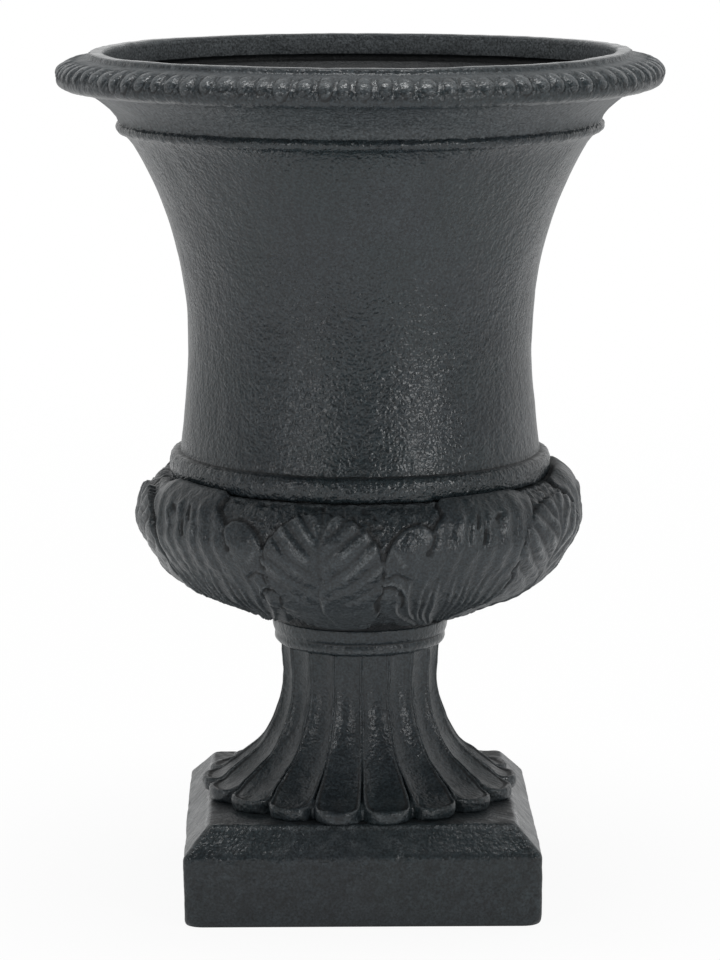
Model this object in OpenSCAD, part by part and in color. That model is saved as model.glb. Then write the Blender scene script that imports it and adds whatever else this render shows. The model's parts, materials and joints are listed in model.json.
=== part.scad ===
// Classical urn planter for a floor or terrace.
// Four castings stand on one another: a hollow square plinth, a fluted stem, a
// bowl clothed in leaves and a flared body with a ribbed rim. One steel rod runs
// from the bowl's floor down to a bar under the plinth and draws them together.
// Water leaves the bowl through three drain bushes, each with a lift-out plug.
// Millimetres, +Z up, origin in the middle of the plinth's underside, front at -Y.

/* [Plinth] */
// Width of the square block across its faces
plinth_w = 302.5; // [290:0.5:330]
// Height of the block, ground to flat top
plinth_h = 84.5; // [76:0.5:100]
// Width of the flat top inside the chamfer
plinth_top_w = 260; // [256:0.5:276]
// Height taken by the chamfer
chamfer_h = 23.5; // [14:0.5:30]
// How far each side leans in at the ground
plinth_taper = 1.5; // [0:0.5:4]
// Thickness of the side walls
plinth_wall = 22; // [16:0.5:30]
// Thickness of the top slab
slab_t = 18; // [12:0.5:24]
// Radius of the opening through the slab
slab_hole_r = 45; // [36:0.5:52]

/* [Fluted stem] */
// Number of flutes, each ending in one petal
flutes = 18; // [14:1:22]
// Radius of the flute edges at the waist of the stem
stem_r = 67; // [60:0.5:76]
// Radius of the petal tips
petal_r = 137; // [126:0.5:142]
// Height of the fluted part
flute_h = 131.5; // [110:0.5:160]
// Height of the bead above the flutes
neck_bead_h = 10; // [7:0.5:14]
// Radius of the bead
neck_bead_r = 74; // [72:0.5:80]
// Height of the plain collar above the bead
collar_h = 12.5; // [8:0.5:18]
// Radius of the collar
collar_r = 76; // [74:0.5:84]
// Radius of the hollow through the stem
stem_bore_r = 50; // [46:0.5:53]
// Radius of the hollow where it opens at the foot
foot_bore_r = 98; // [80:0.5:104]
// Height of the flare at the foot of the hollow
foot_flare_h = 90; // [60:1:110]

/* [Leaf bowl] */
// Radius of the bowl's foot on the collar
bowl_foot_r = 79.5; // [77:0.5:88]
// Widest radius of the bowl under its leaves
bowl_r = 186.5; // [178:0.5:200]
// Height of the bowl casting
bowl_h = 124; // [112:0.5:140]
// Height of the widest place above the foot
bowl_wide_h = 87.5; // [78:0.5:96]
// Wall thickness of the bowl
bowl_wall = 15; // [11:0.5:18]
// Thickness of the bowl's floor
floor_t = 17; // [12:0.5:24]
// Number of leaves, plain and lobed by turns
leaves = 10; // [8:2:12]
// How far the leaves stand out from the bowl
leaf_t = 6; // [3:0.5:9]
// Depth of the ribs cut in the leaves
leaf_rib = 1.4; // [0.4:0.1:2]
// How far the tips of the leaves curl away from the bowl
tip_curl = 5; // [0:0.5:8]
// Length over which the leaves die away beside the roll
leaf_fade = 4; // [2:0.5:8]

/* [Flared body] */
// Height of the body casting
body_h = 362; // [330:1:400]
// Outer radius of the bottom edge, in the crack above the bowl
joint_r = 161; // [158:0.5:168]
// Radius of the bore where body and bowl meet
joint_bore_r = 141; // [134:0.5:142]
// Radius of the roll round the bottom
roll_r = 164; // [161.5:0.5:172]
// Height of the roll
roll_h = 19.5; // [15:0.5:26]
// Radius of the wall just above the roll
wall_foot_r = 155; // [153:0.5:158]
// Radius of the wall at its waist
waist_r = 147.5; // [144:0.5:152]
// Height of the waist above the roll
waist_h = 85; // [70:1:110]
// Radius of the wall where the flare ends
flare_r = 198; // [190:0.5:202]
// Wall thickness of the body
body_wall = 14; // [10:0.5:16]
// Radius of the bead under the cavetto
bead_r = 208.5; // [206:0.5:214]
// Height of the bead
bead_h = 15; // [12:0.5:20]
// Radius at the top of the cavetto
cavetto_r = 235; // [230:0.5:240]
// Height of the cavetto
cavetto_h = 23.5; // [18:0.5:30]

/* [Ribbed rim] */
// Radius of the rim at its widest
rim_r = 260; // [252:0.5:272]
// Height of the rim moulding
rim_h = 26; // [20:0.5:32]
// How far the moulding stands out from its core
rim_depth = 22; // [19:0.5:24]
// Number of ribs round the rim
rim_ribs = 96; // [72:1:120]
// Depth of the ribs
rib_depth = 2.4; // [0.6:0.1:3]
// Outer radius of the lip above the rim
lip_r = 230.5; // [226:0.5:234]
// Height of the lip above the rim
lip_h = 5; // [3:0.5:9]
// Radius of the mouth inside the lip
mouth_r = 217; // [210:0.5:222]
// Depth of the plain band inside the mouth
mouth_band_h = 18.5; // [14:0.5:24]
// Set-back of the wall under the band
band_step = 4; // [2:0.5:6]

/* [Joints between castings] */
// Thickness of each bedding ring
bed_t = 1.5; // [1:0.25:3]
// Set-back of a bedding ring from the faces it joins
bed_inset = 4; // [2:0.5:6]
// Set-back of a bedding ring from the bore
bed_bore_gap = 1; // [0.5:0.25:3]
// Width of the bedding ring under the stem
base_bed_w = 12; // [8:0.5:16]
// Diameter of the locating dowels
dowel_d = 8; // [6:0.5:8]
// Number of dowels
dowels = 4; // [3:1:6]
// Radius of the circle of dowels
dowel_circle_r = 150.5; // [148:0.5:152]
// Depth of each dowel in the body and in the bowl
dowel_depth = 12; // [8:0.5:13]
// Gap left at each end of a dowel
dowel_end_gap = 0.5; // [0.2:0.1:1]
// Clearance round dowels, rod and bushes in their holes
fit_gap = 0.2; // [0.1:0.05:0.4]

/* [Tie rod] */
// Diameter of the rod
rod_d = 12; // [10:0.5:14]
// Width of the nuts across their flats
nut_af = 18; // [16:0.5:22]
// Thickness of the nuts
nut_h = 10.8; // [8:0.1:13]
// Thickness of the lock nut
lock_nut_h = 7; // [5:0.5:10]
// Length of rod left showing past each nut
rod_end = 6; // [3:0.5:12]
// Diameter of the plate washer in the bowl
washer_d = 37; // [30:0.5:39]
// Thickness of the plate washer
washer_t = 3; // [2:0.5:5]
// Thickness of the rubber seal under it
seal_t = 2.5; // [1.5:0.5:4]
// Length of the bar under the plinth's slab
bar_l = 150; // [120:1:170]
// Width of the bar
bar_w = 40; // [30:1:50]
// Thickness of the bar
bar_t = 8; // [5:0.5:12]

/* [Drains] */
// Radius of the circle of drains
drain_circle_r = 35; // [34:0.5:36]
// Radius of the bush's waterway
drain_r = 7.5; // [5:0.25:7.5]
// Wall thickness of the bush
bush_wall = 1.8; // [1:0.1:2]
// Radius of the bush's flange
flange_r = 12.5; // [11.5:0.25:13]
// Thickness of the flange
flange_t = 2.5; // [1.5:0.25:4]
// Length of bush showing under the bowl's floor
bush_drip = 6; // [3:0.5:12]
// Clearance between plug and bush
plug_gap = 0.3; // [0.2:0.05:0.5]
// Length of the plug's shank
plug_l = 15; // [10:0.5:20]
// Radius of the plug's head
plug_head_r = 11; // [9.5:0.25:12]
// Thickness of the plug's head
plug_head_t = 4; // [3:0.25:6]
// Height of the plug's pull tab
tab_h = 16; // [12:0.5:20]
// Width of the pull tab
tab_w = 14; // [12:0.5:16]
// Thickness of the pull tab
tab_t = 3.5; // [2.5:0.25:5]
// Radius of the finger hole in the tab
tab_hole_r = 3.5; // [2.5:0.25:4]

/* [Hidden] */
$fn = 96;
drains = 3;

slate = [0.16, 0.18, 0.19];
steel = [0.62, 0.63, 0.64];

// Levels, from the ground up
flute_z = plinth_h;
neck_z = flute_z + flute_h;
collar_z = neck_z + neck_bead_h;
stem_top_z = collar_z + collar_h;
bowl_z = stem_top_z + bed_t;
floor_z = bowl_z + floor_t;
bowl_top_z = bowl_z + bowl_h;
body_z = bowl_top_z + bed_t;
wall_z = body_z + roll_h;
waist_z = wall_z + waist_h;
top_z = body_z + body_h;
rim_top_z = top_z - lip_h;
rim_z = rim_top_z - rim_h;
cavetto_z = rim_z - cavetto_h;
flare_z = cavetto_z - bead_h;
under_slab_z = plinth_h - slab_t;
bar_z = under_slab_z - bar_t;
nut_z = bar_z - nut_h;
lock_nut_z = nut_z - lock_nut_h;
washer_z = floor_z + seal_t;
top_nut_z = washer_z + washer_t;
flange_top_z = floor_z + flange_t;
rod_hole_r = rod_d / 2 + fit_gap;
bush_r = drain_r + bush_wall;

function ease(x) = let (t = min(1, max(0, x))) t * t * (3 - 2 * t);

// Nearest of the places a0, a0 + pitch, a0 + 2 * pitch ...: signed angle from it
function from_nearest(a, a0, pitch) = a - a0 - pitch * round((a - a0) / pitch);

// A line of points read by how far along it one is, from 0 to 1
function run_to(p, i) = i <= 0 ? 0 : run_to(p, i - 1) + norm(p[i] - p[i - 1]);
function by_length(p, k) = let (n = len(p) - 1, total = run_to(p, n))
    [for (i = [0:n]) [run_to(p, i) / total, p[i][k]]];

// Closed skin through level rings of points, flat at the bottom and the top
module ring_skin(rings) {
    n = len(rings[0]);
    m = len(rings);
    points = concat([for (ring = rings) each ring],
        [[0, 0, rings[0][0][2]], [0, 0, rings[m - 1][0][2]]]);
    faces = concat(
        [for (i = [0:m - 2], j = [0:n - 1]) each let (a = i * n + j,
            b = i * n + (j + 1) % n, c = b + n, d = a + n) [[a, c, b], [a, d, c]]],
        [for (j = [0:n - 1]) [m * n, j, (j + 1) % n]],
        [for (j = [0:n - 1]) [m * n + 1, (m - 1) * n + (j + 1) % n, (m - 1) * n + j]]);
    polyhedron(points, faces, convexity = 6);
}

// Round places on a circle
module ring_of(count, r, start = 0) {
    for (i = [0:count - 1]) rotate([0, 0, start + i * 360 / count])
        translate([r, 0, 0]) children();
}

module washer(z, t, r_out, r_in) {
    translate([0, 0, z]) difference() {
        cylinder(h = t, r = r_out);
        translate([0, 0, -1]) cylinder(h = t + 2, r = r_in);
    }
}

module hex_nut(z, t) {
    translate([0, 0, z]) difference() {
        cylinder(h = t, d = nut_af / cos(30), $fn = 6);
        translate([0, 0, -1]) cylinder(h = t + 2, r = rod_d / 2 + 0.05);
    }
}

// Plinth: chamfered block, hollow from below
module block_profile(half, top_half, h, slope_h, lean) {
    foot = half - lean;
    polygon([[-foot + 5, 0], [foot - 5, 0], [foot - 1.5, 2], [foot, 6], [half, h - slope_h],
        [top_half, h], [-top_half, h], [-half, h - slope_h], [-foot, 6], [-foot + 1.5, 2]]);
}

module block(half, top_half, h, slope_h, lean) {
    intersection() {
        translate([0, half + 1, 0]) rotate([90, 0, 0])
            linear_extrude(2 * half + 2) block_profile(half, top_half, h, slope_h, lean);
        translate([-half - 1, 0, 0]) rotate([90, 0, 90])
            linear_extrude(2 * half + 2) block_profile(half, top_half, h, slope_h, lean);
    }
}

module plinth() color(slate) difference() {
    block(plinth_w / 2, plinth_top_w / 2, plinth_h, chamfer_h, plinth_taper);
    // The hollow's sides run straight down through the ground face
    translate([0, 0, -7])
        block(plinth_w / 2 - plinth_wall, plinth_top_w / 2 - plinth_wall,
            under_slab_z + 7, chamfer_h, plinth_taper);
    cylinder(h = plinth_h + 1, r = slab_hole_r);
}

// Fluted stem: each row below is one level of the petal, from its foot to the
// top of the flute, as how far out from the stem and how far up the flutes.
// First the hollow of the flute, then its raised edge, then the groove beside it.
petal_rows = [
    [[0.870, 0], [0.785, 0], [0.714, 0]],
    [[0.957, 0.038], [0.857, 0.038], [0.721, 0.019]],
    [[1, 0.076], [0.893, 0.080], [0.721, 0.038]],
    [[0.986, 0.099], [0.886, 0.103], [0.707, 0.057]],
    [[0.929, 0.095], [0.850, 0.110], [0.679, 0.072]],
    [[0.814, 0.100], [0.757, 0.125], [0.629, 0.091]],
    [[0.686, 0.122], [0.671, 0.148], [0.571, 0.114]],
    [[0.557, 0.156], [0.579, 0.183], [0.493, 0.148]],
    [[0.436, 0.205], [0.471, 0.232], [0.400, 0.198]],
    [[0.314, 0.266], [0.329, 0.293], [0.300, 0.259]],
    [[0.186, 0.354], [0.214, 0.376], [0.193, 0.350]],
    [[0.064, 0.471], [0.114, 0.487], [0.086, 0.471]],
    [[-0.017, 0.608], [0.036, 0.616], [0.014, 0.608]],
    [[-0.050, 0.760], [0, 0.760], [-0.017, 0.760]],
    [[-0.036, 0.897], [0.011, 0.897], [0, 0.897]],
    [[-0.007, 1], [0.026, 1], [0.014, 1]]];
edge_at = 0.86;
across_petal = [-1, -edge_at, -0.62, -0.3, 0, 0.3, 0.62, edge_at];

function petal_point(row, u) = let (k = pow(min(1, abs(u) / edge_at), 2.2),
    p = abs(u) > edge_at ? row[2] : row[0] * (1 - k) + row[1] * k)
    [stem_r + (petal_r - stem_r) * p[0], flute_z + flute_h * p[1]];

function petal_ring(row) = [for (i = [0:flutes - 1], u = across_petal)
    let (a = -90 + (i + 0.5 + u / 2) * 360 / flutes, p = petal_point(row, u))
    [p[0] * cos(a), p[0] * sin(a), p[1]]];

// Hollow inside the stem at a level
function stem_hollow_r(z) = stem_bore_r + (foot_bore_r - stem_bore_r)
    * pow(max(0, 1 - (z - plinth_h) / foot_flare_h), 2.2);

module fluted_stem() color(slate) difference() {
    union() {
        ring_skin([for (row = petal_rows) petal_ring(row)]);
        rotate_extrude() polygon([[0, neck_z], [neck_bead_r - 3.5, neck_z],
            [neck_bead_r - 0.8, neck_z + neck_bead_h * 0.2],
            [neck_bead_r, neck_z + neck_bead_h * 0.45],
            [neck_bead_r, neck_z + neck_bead_h * 0.65],
            [neck_bead_r - 1, neck_z + neck_bead_h],
            [collar_r - 1, collar_z + 1], [collar_r, collar_z + collar_h * 0.3],
            [collar_r, stem_top_z - 2], [collar_r - 1.5, stem_top_z], [0, stem_top_z]]);
    }
    rotate_extrude() polygon(concat([[0, plinth_h - 1], [foot_bore_r, plinth_h - 1]],
        [for (i = [0:9]) let (z = plinth_h + i / 9 * foot_flare_h) [stem_hollow_r(z), z]],
        [[stem_bore_r, stem_top_z + 1], [0, stem_top_z + 1]]));
    // Rebate under the foot for the bedding ring
    washer(plinth_h - 1, 1 + bed_t, foot_bore_r + base_bed_w + fit_gap, foot_bore_r - 1);
}

// Leaf bowl: the curve from its foot to the widest place, then over the shoulder,
// as how far out and how far up each stretch.
under_curve = [[0, 0], [0.12, 0.12], [0.23, 0.18], [0.32, 0.23], [0.49, 0.32], [0.63, 0.395],
    [0.74, 0.48], [0.825, 0.59], [0.895, 0.72], [0.96, 0.86], [1, 1]];
shoulder_curve = [[0.92, 0.32], [0.80, 0.60], [0.62, 0.78], [0.35, 0.93], [0, 1]];
bowl_line = concat(
    [for (p = under_curve) [bowl_foot_r + (bowl_r - bowl_foot_r) * p[0],
        bowl_z + bowl_wide_h * p[1]]],
    [for (p = shoulder_curve) [joint_r + (bowl_r - joint_r) * p[0],
        bowl_z + bowl_wide_h + (bowl_h - bowl_wide_h) * p[1]]]);
bowl_r_at = by_length(bowl_line, 0);
bowl_z_at = by_length(bowl_line, 1);
function bowl_point(s) = [lookup(s, bowl_r_at), lookup(s, bowl_z_at)];
function bowl_normal(s) = let (d = bowl_point(min(1, s + 0.03)) - bowl_point(max(0, s - 0.03)))
    [d[1], -d[0]] / norm(d);

// Plain leaf: an oval with a middle vein and slanting ribs
plain_w = 0.43;
plain_tip = 0.84;
function plain_half(s) = plain_w * (s < 0.35 ? 1 - 0.28 * pow(1 - s / 0.35, 2)
    : sqrt(max(0, 1 - pow((s - 0.35) / (plain_tip - 0.35), 4))));
function plain_leaf(u, s) = let (inside = ease((plain_half(s) - abs(u)) / 0.06))
    inside * (leaf_t * (0.75 + 0.25 * s) + 0.3 * tip_curl * ease((s - 0.6) / 0.2)
        + leaf_rib * cos(360 * (s / 0.2 - abs(u) / 0.5))
        + leaf_rib * ease(1 - abs(u) / 0.07));

// Lobed leaf: ribs fan out from its foot, and five lobes curl outward
lobe_tops = [[0, 0.97], [0.14, 0.95], [0.19, 0.86], [0.28, 0.85], [0.36, 0.80], [0.40, 0.70],
    [0.47, 0.67], [0.55, 0.55], [0.585, 0.3]];
function lobed_half(s) = s < 0.5 ? 0.585 - 0.2 * pow(1 - s / 0.5, 2) : 0.585;
function lobed_leaf(u, s) = let (top = lookup(abs(u), lobe_tops),
    inside = min(ease((lobed_half(s) - abs(u)) / 0.06), ease((top - s) / 0.05)),
    spread = u / (0.3 + 0.7 * s), curl = ease((s - 0.6) / 0.3) * ease((0.32 - abs(u)) / 0.2))
    inside * (leaf_t * (0.7 + 0.5 * s * s) + tip_curl * curl + leaf_rib * cos(360 * spread / 0.2));

// Height of the leaves over the bowl, u in leaf pitches from each leaf's middle;
// they end where the roll above leaves them room
leaf_pitch = 360 / leaves;
first_leaf = -100;
function leaf_height(a, s) = ease(s / 0.08)
    * (s < 0.6 ? 1 : ease((bowl_point(s)[0] - roll_r) / leaf_fade + 0.25)) * max(
    plain_leaf(from_nearest(a, first_leaf, 2 * leaf_pitch) / leaf_pitch, s),
    lobed_leaf(from_nearest(a, first_leaf + leaf_pitch, 2 * leaf_pitch) / leaf_pitch, s));

bowl_rows = 20;
leaf_columns = 18;
function bowl_ring(s) = let (p = bowl_point(s), n = bowl_normal(s), count = leaves * leaf_columns)
    [for (j = [0:count - 1]) let (a = -180 + j * 360 / count, h = leaf_height(a, s),
        r = p[0] + n[0] * h) [r * cos(a), r * sin(a), p[1] + n[1] * h]];

module leaf_bowl() color(slate) difference() {
    ring_skin([for (i = [0:bowl_rows]) bowl_ring(i / bowl_rows)]);
    rotate_extrude() polygon(concat([[0, floor_z]],
        [for (i = [0:14]) let (s = i * 0.06, p = bowl_point(s) - bowl_normal(s) * bowl_wall)
            [p[0], max(p[1], floor_z)]],
        [[joint_bore_r + (bowl_r - joint_r) * 0.65, bowl_top_z - bowl_wall * 0.95],
            [joint_bore_r, bowl_top_z - bowl_wall * 0.8], [joint_bore_r, bowl_top_z + 1],
            [0, bowl_top_z + 1]]));
    translate([0, 0, bowl_z - 1]) cylinder(h = floor_t + 2, r = rod_hole_r);
    translate([0, 0, bowl_z - 1]) ring_of(drains, drain_circle_r, 30)
        cylinder(h = floor_t + 2, r = bush_r + fit_gap);
    dowel_holes(bowl_top_z - dowel_depth);
}

module dowel_holes(z) {
    translate([0, 0, z]) ring_of(dowels, dowel_circle_r, 45)
        cylinder(h = dowel_depth + dowel_end_gap, r = dowel_d / 2 + fit_gap);
}

// Flared body: the wall falls in to its waist and swings out to the bead
function wall_r(z) = z < waist_z
    ? waist_r + (wall_foot_r - waist_r) * pow(max(0, waist_z - z) / waist_h, 1.4)
    : waist_r + (flare_r - waist_r) * pow((z - waist_z) / (flare_z - waist_z), 2.3);

module flared_body() color(slate) difference() {
    union() {
        rotate_extrude() polygon(concat([[0, body_z], [joint_r, body_z]],
            [for (a = [-60:20:60])
                [roll_r + 8 * (cos(a) - 1), body_z + roll_h * (0.5 + 0.5 * sin(a))]],
            [for (i = [0:24]) let (z = wall_z + i / 24 * (flare_z - wall_z)) [wall_r(z), z]],
            [for (a = [-50:25:50])
                [bead_r + 7 * (cos(a) - 1), flare_z + bead_h * (0.5 + 0.5 * sin(a))]],
            [for (i = [0:6]) [bead_r - 4 + (cavetto_r - bead_r + 4) * pow(i / 6, 1.4),
                cavetto_z + cavetto_h * i / 6]], [[0, rim_z]]));
        ring_skin([for (row = rim_rows) rim_ring(row)]);
        // The lip and the wall of the mouth, which carries the rim
        rotate_extrude() polygon([[0, rim_z], [lip_r, rim_z], [lip_r, top_z - 2.5],
            [lip_r - 0.8, top_z - 0.8], [lip_r - 2.5, top_z], [0, top_z]]);
    }
    rotate_extrude() polygon(concat([[0, body_z - 1], [joint_bore_r, body_z - 1]],
        [for (i = [2:24]) let (z = wall_z + i / 24 * (flare_z - wall_z))
            [min(wall_r(z) - body_wall, i < 4 ? joint_bore_r : flare_r), z]],
        [[bead_r - body_wall * 1.4, cavetto_z],
            [cavetto_r - body_wall * 2.6, cavetto_z + cavetto_h * 0.47],
            [cavetto_r - body_wall * 1.9, rim_z - 3.5],
            [mouth_r + band_step, top_z - mouth_band_h - 4.5],
            [mouth_r + band_step, top_z - mouth_band_h], [mouth_r, top_z - mouth_band_h],
            [mouth_r, top_z - 2], [mouth_r + 1.5, top_z + 0.5], [0, top_z + 0.5]]));
    dowel_holes(body_z - dowel_end_gap);
}

// Rim moulding: how far out, how far up, and how deep the ribs are cut
rim_rows = [[0.50, 0, 0.2], [0.80, 0.10, 0.8], [0.95, 0.26, 1], [1, 0.42, 1], [0.955, 0.58, 1],
    [0.83, 0.72, 1], [0.58, 0.87, 0.9], [0.22, 0.98, 0.5], [-0.10, 1, 0]];
function rim_ring(row) = let (z = rim_z + rim_h * row[1])
    [for (j = [0:2 * rim_ribs - 1]) let (t = -90 + j * 180 / rim_ribs,
        r = rim_r - rim_depth * (1 - row[0]) - (j % 2 == 0 ? 0 : rib_depth * row[2]))
        [r * cos(t), r * sin(t), z]];

// Bedding between the castings, set back so that a fine dark crack shows
module bed_ring_upper() color("dimgray") difference() {
    washer(bowl_top_z, bed_t, joint_r - bed_inset, joint_bore_r + bed_bore_gap);
    translate([0, 0, bowl_top_z - 1]) ring_of(dowels, dowel_circle_r, 45)
        cylinder(h = bed_t + 2, r = dowel_d / 2 + fit_gap);
}

module bed_ring_neck() color("dimgray")
    washer(stem_top_z, bed_t, collar_r - bed_inset, stem_bore_r + bed_bore_gap);

module bed_ring_base() color("dimgray")
    washer(plinth_h, bed_t, foot_bore_r + base_bed_w, foot_bore_r);

module locating_dowels() color(steel)
    translate([0, 0, bowl_top_z - dowel_depth + dowel_end_gap])
    ring_of(dowels, dowel_circle_r, 45)
        cylinder(h = 2 * (dowel_depth - dowel_end_gap) + bed_t, d = dowel_d);

module tie_rod() color(steel) translate([0, 0, lock_nut_z - rod_end])
    cylinder(h = top_nut_z + nut_h + rod_end - (lock_nut_z - rod_end), d = rod_d);

module rod_top_nut() color(steel) hex_nut(top_nut_z, nut_h);
module rod_bottom_nut() color(steel) hex_nut(nut_z, nut_h);
module rod_lock_nut() color(steel) hex_nut(lock_nut_z, lock_nut_h);
module rod_plate_washer() color(steel) washer(washer_z, washer_t, washer_d / 2, rod_hole_r);
module rod_seal() color("black") washer(floor_z, seal_t, washer_d / 2 - 1, rod_hole_r);

module bridge_bar() color(steel) difference() {
    translate([-bar_l / 2, -bar_w / 2, bar_z]) cube([bar_l, bar_w, bar_t]);
    translate([0, 0, bar_z - 1]) cylinder(h = bar_t + 2, r = rod_hole_r);
}

// Drains: a flanged bush through the bowl's floor, and its plug
module at_drain(i) {
    rotate([0, 0, 30 + (i - 1) * 360 / drains]) translate([drain_circle_r, 0, 0]) children();
}

module drain_bush(i) color("gray") at_drain(i) {
    length = floor_t + bush_drip;
    difference() {
        union() {
            translate([0, 0, floor_z - length]) cylinder(h = length + flange_t / 2, r = bush_r);
            translate([0, 0, floor_z]) cylinder(h = flange_t, r = flange_r);
        }
        translate([0, 0, floor_z - length - 1]) cylinder(h = length + flange_t + 2, r = drain_r);
    }
}

module drain_plug(i) color("black") at_drain(i) translate([0, 0, flange_top_z]) {
    difference() {
        union() {
            translate([0, 0, plug_gap - plug_l])
                cylinder(h = plug_l, r1 = drain_r - 1, r2 = drain_r - plug_gap);
            translate([0, 0, plug_gap]) cylinder(h = plug_head_t, r = plug_head_r);
            translate([-tab_t / 2, -tab_w / 2, plug_gap + plug_head_t / 2])
                cube([tab_t, tab_w, plug_head_t / 2 + tab_h]);
        }
        translate([-tab_t, 0, plug_gap + plug_head_t + tab_h / 2]) rotate([0, 90, 0])
            cylinder(h = 2 * tab_t, r = tab_hole_r);
    }
}

flared_body();
leaf_bowl();
fluted_stem();
plinth();
bed_ring_upper();
bed_ring_neck();
bed_ring_base();
locating_dowels();
tie_rod();
rod_top_nut();
rod_plate_washer();
rod_seal();
bridge_bar();
rod_bottom_nut();
rod_lock_nut();
drain_bush(1);  // drain_bush_1
drain_bush(2);  // drain_bush_2
drain_bush(3);  // drain_bush_3
drain_plug(1);  // drain_plug_1
drain_plug(2);  // drain_plug_2
drain_plug(3);  // drain_plug_3
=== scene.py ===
"""Classical urn planter in dark cast stone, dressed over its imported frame.

Four castings stand on one another: plinth, fluted stem, leaf bowl and flared body.
A rod draws them together, and three plugs close the drains in the bowl's floor.
"""
import json
import math

import bmesh
import bpy
import numpy as np
from mathutils import Matrix, Vector, geometry


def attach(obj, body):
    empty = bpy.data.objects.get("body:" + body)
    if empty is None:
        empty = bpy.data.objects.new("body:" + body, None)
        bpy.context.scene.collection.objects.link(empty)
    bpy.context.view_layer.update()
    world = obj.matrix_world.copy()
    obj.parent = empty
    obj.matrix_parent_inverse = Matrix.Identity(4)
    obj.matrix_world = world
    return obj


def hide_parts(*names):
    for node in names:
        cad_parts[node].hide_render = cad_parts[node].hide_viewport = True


bl_info = {
    "name": "Classical urn planter",
    "version": (1, 0, 0),
    "blender": (4, 5, 0),
    "location": "3D View > Sidebar > Urn",
    "description": "Builds a cast urn planter with its rod set and drains over its packed frame",
    "category": "Add Mesh",
}

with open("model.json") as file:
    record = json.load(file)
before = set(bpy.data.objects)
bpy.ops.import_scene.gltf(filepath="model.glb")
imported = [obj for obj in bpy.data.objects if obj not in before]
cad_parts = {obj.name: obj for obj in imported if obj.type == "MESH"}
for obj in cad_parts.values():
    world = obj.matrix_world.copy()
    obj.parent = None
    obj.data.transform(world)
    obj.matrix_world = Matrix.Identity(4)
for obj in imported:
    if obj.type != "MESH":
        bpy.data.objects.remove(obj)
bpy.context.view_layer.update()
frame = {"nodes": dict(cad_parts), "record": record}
MM = 0.001
FRONT = -90.0  # degrees round the axis, toward the camera
URN = "urn"
PLUGS = ("plug_1", "plug_2", "plug_3")

# Levels and sizes in millimetres, the same as the castings were designed to
PLINTH_W, PLINTH_H, PLINTH_TOP_W, CHAMFER_H = 302.5, 84.5, 260.0, 23.5
UNDER_SLAB_Z, SLAB_HOLE_R = 66.5, 45.0
FLUTES, FIRST_FLUTE, STEM_R, PETAL_R, FLUTE_H = 18, -80.0, 67.0, 137.0, 131.5
NECK_Z, COLLAR_Z, STEM_TOP_Z = 216.0, 226.0, 238.5
STEM_BORE_R, FOOT_BORE_R, FOOT_FLARE_H = 50.0, 98.0, 90.0
BOWL_Z, FLOOR_Z, BOWL_TOP_Z, BOWL_WALL = 240.0, 257.0, 364.0, 15.0
BOWL_FOOT_R, BOWL_R, BOWL_WIDE_H, BOWL_H, PLATE_R = 79.5, 186.5, 87.5, 124.0, 48.0
BODY_Z, ROLL_R, JOINT_R, JOINT_BORE_R = 365.5, 164.0, 161.0, 141.0
WALL_Z, WAIST_Z, FLARE_Z, BODY_WALL = 385.0, 470.0, 658.0, 14.0
WALL_FOOT_R, WAIST_R, FLARE_R = 155.0, 147.5, 198.0
RIM_R, RIM_Z, RIM_H, RIM_DEPTH, RIM_RIBS = 260.0, 696.5, 26.0, 22.0, 96
MOUTH_R, TOP_Z, LEDGE_Z = 217.0, 727.5, 709.0
ROD_D, ROD_Z, ROD_TOP_Z, THREAD_PITCH = 12.0, 34.7, 279.3, 1.75
NUT_AF, NUT_H, LOCK_NUT_H, ROD_HOLE_R = 18.0, 10.8, 7.0, 6.2
TOP_NUT_Z, NUT_Z, LOCK_NUT_Z = 262.5, 47.7, 40.7
WASHER_Z, WASHER_T, WASHER_R = 259.5, 3.0, 18.5
SEAL_T, BAR_HALF_X, BAR_HALF_Y, BAR_T = 2.5, 75, 20, 8.0
DRAIN_CIRCLE_R, DRAIN_R, BUSH_R, BUSH_DEPTH = 35.0, 7.5, 9.3, 23.0
FLANGE_R, FLANGE_T = 12.5, 2.5
DRAIN_ANGLES = (30, 150, 270)
PLUG_LENGTH, PLUG_HEAD_R, TAB_HALF_W, TAB_HALF_T, TAB_HOLE_R = 15.0, 11.0, 7.0, 1.75, 3.5

# The camera, and what the lamps point at, in metres and degrees
LENS, SENSOR_W = 147.33, 36.0
VIEW_TURN, VIEW_PITCH, VIEW_AWAY, VIEW_Z = -1.0, 9.956, 3.34649, 0.94414
LAMP_AIM = (0, 0, 0.38)

# Settled dust on each finish, and the cool tint that clouds the stone
DUST_ON = {"stone": (0.095, 0.105, 0.108), "rubber": (0.12, 0.115, 0.11),
           "steel": (0.32, 0.31, 0.29), "plastic": (0.20, 0.19, 0.17)}
STONE_TINT, BEDDING = (0.016, 0.027, 0.029), (0.03, 0.03, 0.03)


# ---------------------------------------------------------------- numbers

def ease(x):
    """0 below 0, 1 above 1, and a smooth step between."""
    t = np.clip(x, 0.0, 1.0)
    return t * t * (3.0 - 2.0 * t)


def tapered(d, width):
    """1 well inside an edge, 0 outside it, over a given width; d is the distance inside."""
    return ease(d / width)


def bump(x, width):
    """A soft bump of height 1 at 0."""
    return np.exp(-(x / width) ** 2)


def lattice(ix, iy, iz, seed):
    """A fixed number from 0 to 1 for each point of a whole-number lattice."""
    n = (ix * 374761393 + iy * 668265263 + iz * 1442695041 + seed * 974634777) & 0xFFFFFFFF
    n = ((n ^ (n >> 13)) * 1274126177) & 0xFFFFFFFF
    return (n ^ (n >> 16)) / 4294967295.0


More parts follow.
